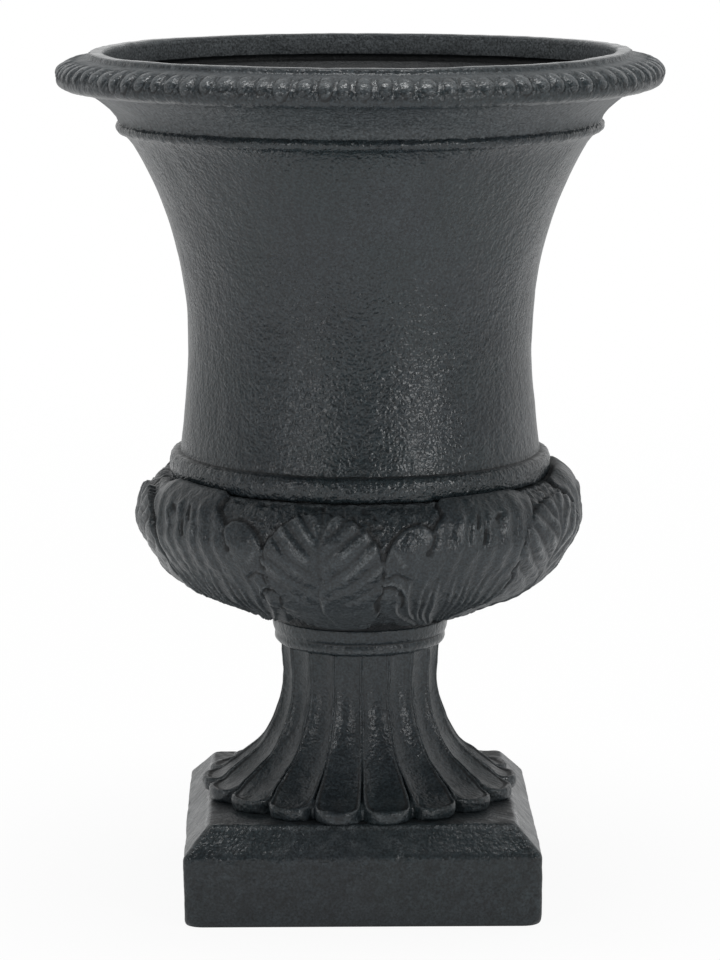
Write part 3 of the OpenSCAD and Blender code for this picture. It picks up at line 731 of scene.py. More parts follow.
class URN_OT_body(bpy.types.Operator):
    """Makes the flared body with its roll, bead, cavetto, ribbed rim and lip"""
    bl_idname = "urn.body"
    bl_label = "Flared body"

    def execute(self, context):
        shape = context.scene.urn_shape
        rows, kinds, depth = body_section()
        angles = turns(RIM_RIBS * RIB_COLUMNS)
        h, relief = body_height(rows, kinds, depth, angles, shape)
        steps = np.select([(kinds == "rim") | (kinds == "lip"), kinds == "inside"], [1, 4], 2)
        steps[np.flatnonzero(kinds == "inside")[:2]] = 2
        rings = revolved(rows, angles, h)
        share = ease((rings[..., 2] - 560.0) / 160.0)
        rings[..., 2] += share * lip_wave(angles)[None, :]
        level = rows[:, 1]
        top = (kinds == "lip") & (level > TOP_Z - 0.5)
        skin = np.select([kinds == "wall", kinds == "rim", kinds == "cavetto", top,
                          np.isin(kinds, ("roll", "bead", "lip"))],
                         [1.0, 0.85, 0.9, 0.12, 1.15], 0.6)
        # Painted light on the cavetto, on the inside above the ledge (streaked there), on the lip
        # and on the rim's top, which also roughens them; the lip's flat top is made glossier
        # instead.
        dry = np.select([kinds == "cavetto", top, (kinds == "inside") & (level > LEDGE_Z + 0.5),
                         kinds == "lip", (kinds == "rim") & (level > RIM_Z + 24.5)],
                        [0.55, -0.9, 1.45, 0.35, 0.35], 0.0)[:, None]
        streaks = lumps(rings * [0.5, 0.5, 2.0], 13.0, 51)
        streaks = np.where(kinds == "inside", 0.55, 0.0)[:, None] * streaks
        piece = casting("flared_body_casting", thinned(rings, steps), skin=skin,
                        relief=thinned(relief, steps), dry=thinned(dry * (1 + streaks), steps))
        dressed(piece, URN, "cast_stone", "flared_body")
        return {"FINISHED"}


# ---------------------------------------------------------------- leaf bowl

# The bowl from foot to widest, and from there to the joint, as shares of width and height
UNDER_CURVE = [[0, 0], [0.12, 0.12], [0.23, 0.18], [0.32, 0.23], [0.49, 0.32], [0.63, 0.395],
               [0.74, 0.48], [0.825, 0.59], [0.895, 0.72], [0.96, 0.86], [1, 1]]
SHOULDER_CURVE = [[0.92, 0.32], [0.80, 0.60], [0.62, 0.78], [0.35, 0.93], [0, 1]]
LEAVES, FIRST_LEAF, LEAF_COLUMNS = 10, -100.0, 88
LEAF_PITCH = 360.0 / LEAVES


def bowl_line(at):
    """Points (r, z) of the bowl at shares of its length from foot to joint."""
    under = np.array(UNDER_CURVE) * [BOWL_R - BOWL_FOOT_R, BOWL_WIDE_H] + [BOWL_FOOT_R, BOWL_Z]
    over = np.array(SHOULDER_CURVE) * [BOWL_R - JOINT_R, BOWL_H - BOWL_WIDE_H]
    points = np.concatenate([under, over + [JOINT_R, BOWL_Z + BOWL_WIDE_H]])
    along = distances(points)
    return smooth_through(points, along / along[-1], at)


def plain_leaf(u, s, patch, leaf_t, rib_t):
    """A plain leaf: a broad oval, a middle vein and soft folds that rise outward from it."""
    tip = 0.905
    half = 0.475 * np.where(s < 0.3, 1 - 0.26 * (1 - s / 0.3) ** 2, np.sqrt(np.maximum(
        0, 1 - (np.maximum(s - 0.3, 0) / (tip - 0.3)) ** 6)))
    side = np.abs(u)
    phase = (s - side * (0.70 * s - 0.02)) / 0.083 + 0.12 * np.sign(u) + 0.10 * patch
    w = phase - np.round(phase)
    fold = (0.5 + 0.5 * np.cos(2 * np.pi * (w - 0.07 * np.cos(2 * np.pi * w)))) ** 0.8
    edge = half + 0.014 * fold * ease((s - 0.2) / 0.2) - side
    inside = tapered(edge, 0.03)
    strong = 0.38 + 0.62 * ease((s - 0.45) / 0.3)
    spread = tapered(edge, 0.07) * ease((side - 0.012) / 0.05) * ease((s - 0.16) / 0.14)
    crease = bump(side, 0.020) * ease((s - 0.5) / 0.15)
    vein = bump(side, 0.013) * ease((0.62 - s) / 0.12) * ease((s - 0.16) / 0.06)
    crown = 0.9 * (1 - (side / 0.46) ** 2) + 1.3 * ease((s - 0.62) / 0.2)
    folds = 1.15 * rib_t * (fold - 0.5) * strong * spread
    h = inside * (leaf_t * 0.80 + crown + folds + 1.6 * vein - 1.0 * crease)
    # Painted highlight: bright bars on the fold crests near the top and along the vein; painted
    # shade in the valleys, beside the vein and in the crease.
    bright = ease((s - 0.62) / 0.12) * ease((patch + 0.45) / 0.5)
    lines = 2.0 * bump(w - 0.05, 0.12) * bright + 0.30 * fold - 0.60 * bump(
        np.abs(w) - 0.5, 0.14) * strong
    relief = inside * (lines * spread + 1.2 * vein - 0.7 * bump(u + 0.022, 0.011) * (vein > 0.02)
                       - 0.45 * crease)
    # The last value is where the outline's painted shade goes.
    return h, relief, inside, bump(edge - 0.004, 0.0105) * ease((s - 0.16) / 0.12)


# Once round a lobed leaf from its foot, over its round lobe and its lip, and down its far
# side: degrees from its middle and share of the section
LEAF_OUTLINE = [(-6, 0.08), (-13, 0.20), (-19, 0.32), (-21.6, 0.44), (-21.8, 0.56),
                (-20.9, 0.64), (-21.3, 0.72), (-19.7, 0.79), (-16.8, 0.845), (-13.2, 0.868),
                (-10.4, 0.862), (-8.8, 0.845), (-7.4, 0.872), (-5.4, 0.90), (-6.2, 0.95),
                (-3.8, 0.99), (2, 1.015), (10, 1.015), (18, 1.005), (24.5, 0.985), (27.2, 0.94),
                (25.6, 0.88), (22.0, 0.80), (19.4, 0.73), (19.6, 0.66), (20.2, 0.58),
                (19.6, 0.48), (17.6, 0.36), (13.0, 0.24), (6.0, 0.08)]
LEAF_SLOTS = [[(4.6, 0.875), (3.9, 0.83)], [(6.8, 0.815), (5.9, 0.765)],
              [(12.4, 0.865), (10.6, 0.85)]]
LEAF_WELTS = [[(-0.3, 0.78), (0.2, 0.88)], [(2.3, 0.77), (2.5, 0.86)], [(5.3, 0.78), (5.0, 0.84)],
              [(7.5, 0.83), (8.6, 0.87)], [(12.6, 0.79), (14.6, 0.85)]]
# Ridges that fan out over a lobed leaf from its foot, each drawn from its top downward
LEAF_FAN = [[(-16.5, 0.60), (-17.2, 0.50), (-14.5, 0.36), (-8, 0.23), (0.5, 0.12)],
            [(-12.8, 0.67), (-13.8, 0.55), (-12.0, 0.41), (-6, 0.26), (3, 0.13)],
            [(-8.6, 0.66), (-10, 0.50), (-7.5, 0.35), (-2, 0.22), (5.5, 0.12)],
            [(-7.2, 0.56), (-7.6, 0.46), (-4.6, 0.32), (1, 0.20), (7.2, 0.12)],
            [(-4.6, 0.68), (-5.4, 0.50), (-2.3, 0.34), (3, 0.21), (9, 0.12)],
            [(-0.6, 0.66), (-0.4, 0.50), (2.3, 0.35), (7, 0.22), (12, 0.12)],
            [(2.2, 0.57), (1.8, 0.47), (4.2, 0.35), (9, 0.23), (14, 0.13)],
            [(4.4, 0.70), (4, 0.50), (6.5, 0.36), (11, 0.24), (16, 0.13)],
            [(7.6, 0.60), (6.2, 0.50), (8.2, 0.38), (13, 0.25), (18, 0.14)],
            [(10.8, 0.67), (8.8, 0.52), (10, 0.40), (15, 0.27), (20, 0.16)],
            [(16.2, 0.66), (12.8, 0.53), (13.3, 0.42), (17.5, 0.31), (23, 0.19)],
            [(19.4, 0.60), (16.6, 0.52), (16.8, 0.44), (20, 0.34), (26, 0.22)]]
ROUND_LOBE, MIDDLE_R = (-15.0, 0.775), 158.0


def to_segment(x, y, start, end):
    """Distance to the straight line between two points."""
    dx, dy = end[0] - start[0], end[1] - start[1]
    t = np.clip(((x - start[0]) * dx + (y - start[1]) * dy) / (dx * dx + dy * dy), 0, 1)
    return np.hypot(x - start[0] - t * dx, y - start[1] - t * dy)


def within(x, y, outline):
    """Distance inside a closed outline of points, negative outside it."""
    outline = np.asarray(outline, float)
    near = np.full(x.shape, 1e9)
    crossed = np.zeros(x.shape, bool)
    for (x0, y0), (x1, y1) in zip(outline, np.roll(outline, -1, axis=0)):
        near = np.minimum(near, to_segment(x, y, (x0, y0), (x1, y1)))
        if y1 - y0:
            crossed ^= ((y0 > y) != (y1 > y)) & (x < x0 + (y - y0) * (x1 - x0) / (y1 - y0))
    return np.where(crossed, near, -near)


def rounded_outline(points, scale, count=150):
    """A closed outline drawn smoothly through points, in millimetres."""
    points = np.asarray(points, float) * scale
    closed = np.concatenate([points[-2:], points, points[:2]])
    along = distances(closed)
    return smooth_through(closed, along, np.linspace(along[2], along[-2], count, endpoint=False))


def distance_to(x, y, path):
    """Distance to a line through the points of path."""
    near = np.full(x.shape, 1e9)
    for start, end in zip(path[:-1], path[1:]):
        near = np.minimum(near, to_segment(x, y, start, end))
    return near


def cut_line(x, y, path, width):
    """How deep a line through the points of path cuts, from 0 to 1."""
    return bump(distance_to(x, y, path), width)


def smooth_path(points, scale, count=16):
    """An open line drawn smoothly through points, in millimetres."""
    points = np.asarray(points, float) * scale
    along = distances(points)
    return smooth_through(points, along, np.linspace(0, along[-1], count))


def lobed_leaf(a, s, length, leaf_t, rib_t, curl_t, berry):
    """A lobed leaf: sharp ridges fan out from its foot under a broad lip, with one round lobe."""
    scale = np.array([math.radians(1) * MIDDLE_R, length])
    x, y = a * scale[0], s * scale[1]
    near = np.abs(a) < 34
    d, ridge = np.full(a.shape, -30.0), np.full(a.shape, 30.0)
    d[near] = within(x[near], y[near], rounded_outline(LEAF_OUTLINE, scale))
    ridge[near] = np.min([distance_to(x[near], y[near], smooth_path(path, scale))
                          for path in LEAF_FAN], axis=0)
    inside = tapered(d, 2.2)
    strong = ease((s - 0.07) / 0.06) * (1 - 0.88 * ease((s - 0.50) / 0.18)) * tapered(d, 4.0)
    ribs = (1.0 * bump(ridge, 1.15) + 0.3 * bump(ridge, 3.5) - 0.2) * strong
    lobe_x, lobe_y = x - ROUND_LOBE[0] * scale[0], y - ROUND_LOBE[1] * scale[1]
    lobe_r = np.hypot(lobe_x, lobe_y)
    lobe = ease((13.5 - lobe_r) / 5.0)
    slots = sum(cut_line(x, y, np.array(path) * scale, 1.1) for path in LEAF_SLOTS)
    welts = sum(cut_line(x, y, np.array(path) * scale, 1.9) for path in LEAF_WELTS)
    curl = ease((s - 0.78) / 0.19) * ease((a + 8.5) / 6) * ease((26 - a) / 9)
    rise = leaf_t * (0.72 + 0.24 * s * s - 0.22 * ease((s - 0.84) / 0.12))
    rise = rise + curl_t * curl + rib_t * ribs - 2.2 * slots + 1.0 * welts
    swell = np.cos(2 * np.pi * (a - 1.5 - 9.0 * (s - 0.6)) / 5.0) * ease((s - 0.52) / 0.1)
    swell = swell * ease((0.94 - s) / 0.08) * ease((a + 9) / 4) * tapered(d, 5.0)
    rise = rise + 1.2 * lobe * (1 - (lobe_r / 14) ** 2) + 0.65 * swell
    border = bump(d - 2.8, 1.2) * ease((s - 0.58) / 0.06) * ease((-5 - a) / 4)
    h = inside * (rise + 0.7 * border)
    # Painted highlight on the ridges, welts, border and swells, and painted shade beside the
    # ridges and in the slots; the streak on the round lobe is a painted glint.
    lines = 1.8 * bump(ridge, 0.9) - 0.5 * bump(ridge - 2.2, 1.0)
    painted_glint = cut_line(x, y, np.array([(-18.6, 0.76), (-15.6, 0.70)]) * scale, 2.2)
    relief = inside * (lines * strong - 1.5 * slots + 0.65 * welts + 0.55 * border + 0.7 * painted_glint
                       + 0.18 * swell)
    slit = cut_line(x, y, np.array([(-9.2, 0.85), (-8.2, 0.81), (-9.7, 0.75)]) * scale, 0.9)
    eye = bump(np.hypot(x + 9.9 * scale[0], y - 0.748 * scale[1]), 2.0)
    fork = cut_line(x, y, np.array([(-22, 0.60), (-17.5, 0.655), (-14.5, 0.62)]) * scale, 1.2)
    drop = inside * (1.8 * slit + 3.2 * eye + 1.6 * fork)
    # Painted shade in the slit, the eye and the fork.
    h, relief = h - drop, relief - inside * (0.8 * slit + 1.5 * eye + 0.9 * fork)
    bx, by = x + 19.4 * scale[0], y - np.where(berry, 0.50, 0.47) * scale[1]
    e = np.hypot(bx / np.where(berry, 8.5, 12.5), by / np.where(berry, 12.0, 21.0))
    boss = tapered(1.0 - e, 0.25)
    ball = np.where(berry, 5.6, 2.2) * np.sqrt(np.maximum(0, 1 - e * e))
    ring = bump(e - 1.26, 0.11) * ease((by + 4.0) / 8.0)
    h = np.maximum(h, boss * (leaf_t * 0.6 + ball)) + 2.0 * ring
    # Painted highlight on the boss and its ring; the last value is where the outline's painted
    # shade goes.
    relief = np.where(boss > 0.7, 0.35, relief) + 1.1 * ring
    border = np.maximum(bump(d - 0.4, 1.15), bump(e - 1.05, 0.085) * ease((by + 9.0) / 8.0))
    return h, relief, np.maximum(inside, boss), border * ease((s - 0.18) / 0.12)


def leaf_relief(angles, s, shape):
    """Height of the leaves over the bowl and the light and shade painted on them, on a grid of
    rows s and angles.
    """
    line_rz = bowl_line(s)
    length = float(np.sum(np.linalg.norm(np.diff(line_rz, axis=0), axis=1)))
    a, s = np.meshgrid(angles, s)
    leaf_t, rib_t = shape.leaf_height / MM, 2.0
    at = round_axis(180, a, s * 190)
    bend = 0.016 * lumps(at, 42.0, 11) + 0.007 * lumps(at, 15.0, 12)
    lift = 0.012 * lumps(at, 36.0, 13)
    up = from_nearest(a + 1.2, FIRST_LEAF, 2 * LEAF_PITCH) / LEAF_PITCH + bend
    patch = lumps(at, 13.0, 18)
    plain, plain_rel, in_plain, plain_line = plain_leaf(up, s + lift, patch, leaf_t, rib_t)
    first = FIRST_LEAF + LEAF_PITCH
    at_leaf = from_nearest(a, first, 2 * LEAF_PITCH)
    which = np.round((a - at_leaf - first) / (2 * LEAF_PITCH)).astype(int) % (LEAVES // 2)
    turned = np.isin(which, (1, 3, 4))
    at_leaf = np.where(turned, -at_leaf, at_leaf) + LEAF_PITCH * bend
    curl_t = 0.8 + 5.6 * np.cos(np.radians(a)) ** 2
    lobed, lobed_rel, in_lobed, lobed_line = lobed_leaf(at_leaf, s + 0.6 * lift, length, leaf_t,
                                                        rib_t, curl_t, turned)
    h = np.maximum(plain, lobed)
    relief = np.where(plain >= lobed, plain_rel, lobed_rel)
    # Painted shade in the crack where two leaves meet.
    crack = bump(plain - lobed, 0.8) * in_plain * in_lobed * ease((s - 0.2) / 0.1)
    h, relief = h - 1.9 * crack, relief - 1.2 * crack
    bare = 1 - ease(np.maximum(in_plain, in_lobed))
    rough = 1.05 * lumps(at, 4.4, 14) + 0.8 * lumps(at, 9.0, 15)
    crust = lumps(at, 2.9, 19)
    ground = (2.1 + rough + 0.5 * crust) * ease((s - 0.12) / 0.15)
    # The bare ground's colour follows its lumps: painted light on them, painted shade between.
    relief = relief * (1 - bare) + bare * (0.35 * rough + 0.45 * crust - 0.05)
    h = np.maximum(h, ground)
    # Painted shade along the leaves' outlines.
    border = np.maximum(plain_line * (plain > lobed - 1.5), lobed_line * (lobed > plain - 1.5))
    h, relief = h - 0.8 * border, relief - 1.5 * border
    # Painted light on the shelf tucked under the roll.
    tucked = ease((s - 0.945) / 0.03)
    relief = relief * (1 - tucked) + tucked * (0.25 + 0.4 * crust)
    ragged = lumps(at, 11.0, 17)
    root = bump(s - 0.135 - 0.010 * ragged, 0.017) * (1.3 + 0.9 * ragged)
    # Painted highlight on the root ridge at the foot, and painted shade just below it.
    relief = relief * ease((s - 0.03) / 0.06) - 0.75 * ease((0.085 - s) / 0.04) + 0.45 * root
    return h + root, relief, 0.65 + 0.55 * bare


class URN_OT_bowl(bpy.types.Operator):
    """Makes the leaf bowl with its ten leaves, drilled floor and flat joint"""
    bl_idname = "urn.bowl"
    bl_label = "Leaf bowl"

    def execute(self, context):
        shape = context.scene.urn_shape
        angles = turns(LEAVES * LEAF_COLUMNS)
        s = np.concatenate([np.linspace(0, 0.1, 6), np.linspace(0.1, 1.0, 97)[1:]])
        outer = bowl_line(s)
        h, relief, worked = leaf_relief(angles, s, shape)
        fade = ease((outer[:, 0] - ROLL_R) / 4.0 + 0.25)
        fade = np.where(s < 0.6, ease(s / 0.08), fade)[:, None]
        at = revolved(outer, angles)
        ragged = (0.5 * lumps(at, 5.0, 18) + 0.35 * lumps(at, 21.0, 16)) * ease(s / 0.05)[:, None]
        skin = revolved(outer, angles, h * fade + ragged)
        top = BOWL_TOP_Z + 0.4 + 30 * ease((outer[:, :1] - 161.5) / 3)
        skin[..., 2] = np.minimum(skin[..., 2], top)
        middle = bowl_line(np.linspace(0.0, 0.84, 9))
        inner = (middle - section_normals(middle) * BOWL_WALL)[::-1]
        inner = inner[inner[:, 1] > FLOOR_Z + 1.5]
        section = np.concatenate([
            [(157.0, BOWL_TOP_Z + 0.3), (JOINT_BORE_R + 0.6, BOWL_TOP_Z),
             (JOINT_BORE_R, BOWL_TOP_Z - 1), (JOINT_BORE_R, BOWL_TOP_Z - 11.5),
             (156.5, BOWL_TOP_Z - 14.5)], inner,
            [(74.0, FLOOR_Z + 0.6), (68.0, FLOOR_Z), (PLATE_R, FLOOR_Z)]])
        foot = np.array([(PLATE_R, BOWL_Z), (BOWL_FOOT_R - 3.5, BOWL_Z),
                         (BOWL_FOOT_R - 2.4, BOWL_Z - 0.5)])
        plain = revolved(np.concatenate([section, foot]), angles[::2])
        rings = [*skin, *plain]
        # Painted shade on the inside and under the foot; painted light on the bowl's underside and
        # on the shelf under the roll, which also roughens them.
        relief = [*relief, *np.full(len(plain), -0.7)]
        dry = [*(0.62 * (1 - ease((s - 0.36) / 0.26)) + 0.80 * ease((s - 0.945) / 0.02)),
               *np.zeros(len(plain))]
        floor = len(s) + len(section) - 1
        piece = drilled_casting("leaf_bowl_casting", rings, floor, relief=relief, dry=dry,
                                skin=[*worked, *np.full(len(plain), 0.5)])
        dressed(piece, URN, "cast_stone", "leaf_bowl")
        return {"FINISHED"}


def drilled_casting(name, rings, floor, **values):
    """A casting whose ring floor and the next one bound a plate drilled for rod and drains."""
    rings = rings[floor + 1:] + rings[:floor + 1]
    counts = [len(ring) for ring in rings]
    values = {title: np.concatenate([np.broadcast_to(row, k) for row, k in zip(
        rows[floor + 1:] + rows[:floor + 1], counts)]) for title, rows in values.items()}
    n = counts[0]
    points, faces = np.concatenate(rings), ring_faces(counts, False)
    top, bottom = len(points) - n, 0
    holes = [(0.0, 0.0, ROD_D / 2 + 0.2, 24)]
    holes += [(*drain_centre(t), BUSH_R + 0.2, 32) for t in DRAIN_ANGLES]
    flat = [tuple(p[:2]) for p in points[top:top + n]]
    edges = [(k, (k + 1) % n) for k in range(n)]
    for x, y, r, count in holes:
        first = len(flat)
        turned = [2 * math.pi * k / count for k in range(count)]
        flat += [(x + r * math.cos(t), y + r * math.sin(t)) for t in turned]
        edges += [(first + k, first + (k + 1) % count) for k in range(count)]
    grid = np.arange(-46, 47, 5.0)
    inner = [(x, y) for x in grid for y in grid if math.hypot(x, y) < PLATE_R - 2.5
             and all(math.hypot(x - h[0], y - h[1]) > h[2] + 2 for h in holes)]
    made = geometry.delaunay_2d_cdt([Vector(p) for p in flat + inner], edges, [], 0, 1e-4)
    verts, tris, origin = made[0], made[2], made[3]
    keep = []
    for tri in tris:
        c = sum((verts[k] for k in tri), Vector((0, 0))) / 3
        clear = all(math.hypot(c.x - h[0], c.y - h[1]) > h[2] * 0.995 for h in holes)
        if c.length < PLATE_R + 0.1 and clear:
            keep.append(tri)
    count = len(points)
    number_top, number_bottom, extra = {}, {}, []
    for k, v in enumerate(verts):
        source = origin[k][0] if origin[k] else len(flat)
        if source < n:
            number_top[k], number_bottom[k] = top + source, bottom + source
        else:
            number_top[k], number_bottom[k] = count + len(extra), count + len(extra) + 1
            extra += [(v.x, v.y, FLOOR_Z), (v.x, v.y, BOWL_Z)]
    faces += [[number_top[k] for k in tri] for tri in keep]
    faces += [[number_bottom[k] for k in reversed(tri)] for tri in keep]
    seat = {origin[k][0]: k for k in range(len(verts)) if origin[k]}
    first = n
    for x, y, r, size in holes:
        for k in range(size):
            p, q = seat[first + k], seat[first + (k + 1) % size]
            faces.append([number_top[q], number_top[p], number_bottom[p], number_bottom[q]])
        first += size
    points = np.concatenate([points, np.array(extra)])
    values = {title: np.concatenate([v, np.full(len(extra), v[-1])])
              for title, v in values.items()}
    return mesh_object(name, points, faces, **values)


# ---------------------------------------------------------------- fluted stem

# Levels of one petal from its foot to the top of the flute: how far out and how far
# up, first in the hollow of the flute, then on its raised edge, then in the groove
PETAL_ROWS = [
    [[0.955, 0], [0.860, 0], [0.765, 0]],
    [[0.985, 0.038], [0.880, 0.038], [0.768, 0.019]],
    [[1, 0.076], [0.893, 0.080], [0.765, 0.036]],
    [[0.986, 0.099], [0.886, 0.103], [0.750, 0.052]],
    [[0.929, 0.095], [0.850, 0.110], [0.715, 0.066]],
    [[0.814, 0.100], [0.757, 0.125], [0.640, 0.088]],
    [[0.686, 0.122], [0.671, 0.148], [0.571, 0.114]],
    [[0.557, 0.156], [0.579, 0.183], [0.493, 0.148]],
    [[0.436, 0.205], [0.471, 0.232], [0.400, 0.198]],
    [[0.314, 0.266], [0.329, 0.293], [0.300, 0.259]],
    [[0.186, 0.354], [0.214, 0.376], [0.193, 0.350]],
    [[0.064, 0.471], [0.114, 0.487], [0.086, 0.471]],
    [[-0.017, 0.608], [0.036, 0.616], [0.014, 0.608]],
    [[-0.050, 0.760], [0, 0.760], [-0.017, 0.760]],
    [[-0.036, 0.897], [0.011, 0.897], [0, 0.897]],
    [[-0.007, 1], [0.026, 1], [0.014, 1]]]
EDGE_AT, FLUTE_COLUMNS, PETAL_LINES = 0.88, 40, 94


def petal_lines(at):
    """The hollow, the edge and the groove of a flute, each as points (r, z) at shares at."""
    rows = np.array(PETAL_ROWS)
    points = rows * [PETAL_R - STEM_R, FLUTE_H] + [STEM_R, PLINTH_H]
    along = distances(points.mean(axis=1))
    return [smooth_through(points[:, k], along / along[-1], at) for k in range(3)]


def flute_angles():
    """Angles round the stem, closer together beside the grooves between the flutes."""
    t = np.arange(FLUTE_COLUMNS) * 2.0 / FLUTE_COLUMNS - 1.0
    u = t + 0.19 * np.sin(np.pi * t)
    return (turns(FLUTES, FIRST_FLUTE)[:, None] + u[None, :] * 180.0 / FLUTES).ravel()


def flute_skin(angles, at):
    """Rings of points over all flutes, and the light and shade painted on them."""
    hollow, edge, groove = petal_lines(at)
    a = angles[None, :]
    u = from_nearest(a, FIRST_FLUTE, 360.0 / FLUTES) * 2 * FLUTES / 360.0
    side = np.abs(u)
    k = np.minimum(1, side / EDGE_AT) ** 2.2
    low = ease((hollow[:, :1] - 84.0) / 28.0)
    tip = ease((hollow[:, :1] - 112.0) / 20.0)
    seam = ease((side - 0.93 + 0.07 * tip) / (0.06 + 0.07 * tip))
    out = seam * (0.04 + 0.44 * low - 0.37 * tip)
    r, z = [((hollow[:, c:c + 1] * (1 - k) + edge[:, c:c + 1] * k) * (1 - out)
             + groove[:, c:c + 1] * out) for c in (0, 1)]
    foot = ease((r - 112.0) / 20.0)
    z = PLINTH_H + (z - PLINTH_H) * (1 - 0.22 * foot)
    flat = round_axis(r, a, z)
    wave = lumps(flat * [1, 1, 0.4], 24.0, 25)
    ragged = lumps(flat, 6.5, 26)
    r = r - foot * (7.0 * np.minimum(1, side / 0.95) ** 3.5 - 1.5 * wave)
    bowed = np.maximum(0, side - 0.012 * wave) / 0.85
    reach = np.maximum(0, r + 4.0 * side ** 3 - 99.0) / (33.0 + 0.9 * ragged)
    e = (bowed ** 3.6 + reach ** 3.6) ** (1 / 3.6)
    lip = bump(e - 1.08 - 0.012 * ragged, 0.05) * ease((e - 0.9) / 0.1)
    lip = lip * (1 - 0.6 * ease((side - 0.97) / 0.03))
    rise = (0.75 + 0.75 * low) * lip - 0.35 * out * (1 - foot) + 0.5 * foot * ragged * lip
    rise = rise + 0.45 * lumps(flat * [1, 1, 0.55], 13.0, 21) + 0.28 * lumps(flat, 5.5, 22)
    d = np.gradient(np.stack([r, z], -1), axis=0)
    n = np.stack([d[..., 1], -d[..., 0]], -1)
    n = n / np.maximum(np.linalg.norm(n, axis=-1, keepdims=True), 1e-9)
    r, z = r + n[..., 0] * rise, z + n[..., 1] * rise
    turn = a + 0.5 * lumps(flat, 60.0, 23) + 0.25 * lumps(flat, 19.0, 27)
    z = np.maximum(z, PLINTH_H)
    # Painted highlight on the petals' lips and a little on the tips' front faces; painted shade in
    # the seams, along the U line and in each flute's hollow near its foot.
    line = bump(e - 0.985, 0.038) * (0.40 + 1.20 * low)
    relief = ((0.48 + 0.16 * low) * lip - (0.04 + 0.26 * low - 0.26 * foot) * seam - 1.2 * line
              + 0.22 * ragged - 0.30 * (1 - k) * ease((r - 88) / 26.0)
              + 0.05 * ease((r - 132.0) / 3.0))
    return round_axis(r, turn, z), relief


class URN_OT_stem(bpy.types.Operator):
    """Makes the fluted stem with its petals, bead and collar, hollow inside"""
    bl_idname = "urn.stem"
    bl_label = "Fluted stem"

    def execute(self, context):
        angles = flute_angles()
        at = np.linspace(0, 1, PETAL_LINES)
        at = at - 0.05 * np.sin(2 * np.pi * at) / np.pi
        skin, relief = flute_skin(angles, at)
        top = np.array([
            (68.6, NECK_Z + 0.1), (71.6, NECK_Z + 0.9), (73.4, NECK_Z + 2.8), (74.0, NECK_Z + 4.9),
            (74.0, NECK_Z + 6.8), (73.9, NECK_Z + 8.6), (74.1, NECK_Z + 9.8),
            (74.5, COLLAR_Z + 1.0), (75.0, COLLAR_Z + 2.2), (75.5, COLLAR_Z + 3.8),
            (76.0, COLLAR_Z + 6.5), (76.4, STEM_TOP_Z - 2.4), (76.7, STEM_TOP_Z - 0.5),
            (76.2, STEM_TOP_Z + 0.7), (75.3, STEM_TOP_Z + 0.2), (73.4, STEM_TOP_Z)])
        z = np.concatenate([np.linspace(STEM_TOP_Z, 176.0, 4), np.linspace(168.0, 86.0, 9)])
        inside = STEM_BORE_R + (FOOT_BORE_R - STEM_BORE_R) * np.maximum(
            0, 1 - (z - PLINTH_H) / FOOT_FLARE_H) ** 2.2
        inner = np.concatenate([np.column_stack([inside, z]),
                                [(FOOT_BORE_R + 12.1, 86.0), (FOOT_BORE_R + 12.2, PLINTH_H)]])
        h = 0.3 * lumps(revolved(top, angles), 12.0, 24)
        h[-1] = 0
        crease = ease((np.cos(np.radians(angles + 75)) - 0.45) / 0.25)
        h[5:8] -= np.array([[0.5], [1.3], [0.4]]) * crease
        # Painted light and shade on the neck and collar: a dark line at the neck, a lighter bead
        # above it, darker where the stem meets the bowl and along the front groove; the bore is
        # painted dark as shade.
        dark = np.array([-0.6, 0.1, 0.7, 0.4] + [0.1] * (len(top) - 7) + [0.0, -0.4, -0.4])
        rings = np.concatenate([skin, revolved(top, angles, h), revolved(inner, angles)])
        dark = np.repeat(dark[:, None], len(angles), 1)
        dark[6] -= 1.0 * crease
        relief = np.concatenate([relief, dark, np.full((len(inner), len(angles)), -0.3)])
        piece = casting("fluted_stem_casting", rings, relief=relief,
                        skin=np.full(len(rings), 0.68))
        dressed(piece, URN, "cast_stone", "fluted_stem")
        return {"FINISHED"}


# ---------------------------------------------------------------- plinth

def frame_loop(half_x, half_y, corner, side_x, side_y, corner_points):
    """Points (x, y) once round a rectangle with round corners, from its front right."""
    loop = []
    for k, (sx, sy) in enumerate(((1, -1), (1, 1), (-1, 1), (-1, -1))):
        centre = np.array([sx * (half_x - corner), sy * (half_y - corner)])
        for t in np.radians(np.linspace(-90 + 90 * k, 90 * k, corner_points)):
            loop.append(centre + corner * np.array([math.cos(t), math.sin(t)]))
        start, count = loop[-1], side_y if k % 2 == 0 else side_x
        end = (start * [1, -1]) if k % 2 == 0 else (start * [-1, 1])
        loop += [start + (end - start) * t for t in np.linspace(0, 1, count + 2)[1:-1]]
    return np.array(loop)


def softened(points, radius, count=4):
    """A section line with each inner corner turned into a small arc."""
    points = np.asarray(points, float)
    made = [points[0]]
    for a, b, c in zip(points[:-2], points[1:-1], points[2:]):
        ta, tc = a - b, c - b
        la, lc = np.linalg.norm(ta), np.linalg.norm(tc)
        cut = min(radius, la * 0.45, lc * 0.45)
        p, q = b + ta / la * cut, b + tc / lc * cut
        for t in np.linspace(0, 1, count):
            made.append((1 - t) ** 2 * p + 2 * t * (1 - t) * b + t * t * q)
    made.append(points[-1])
    return np.array(made)


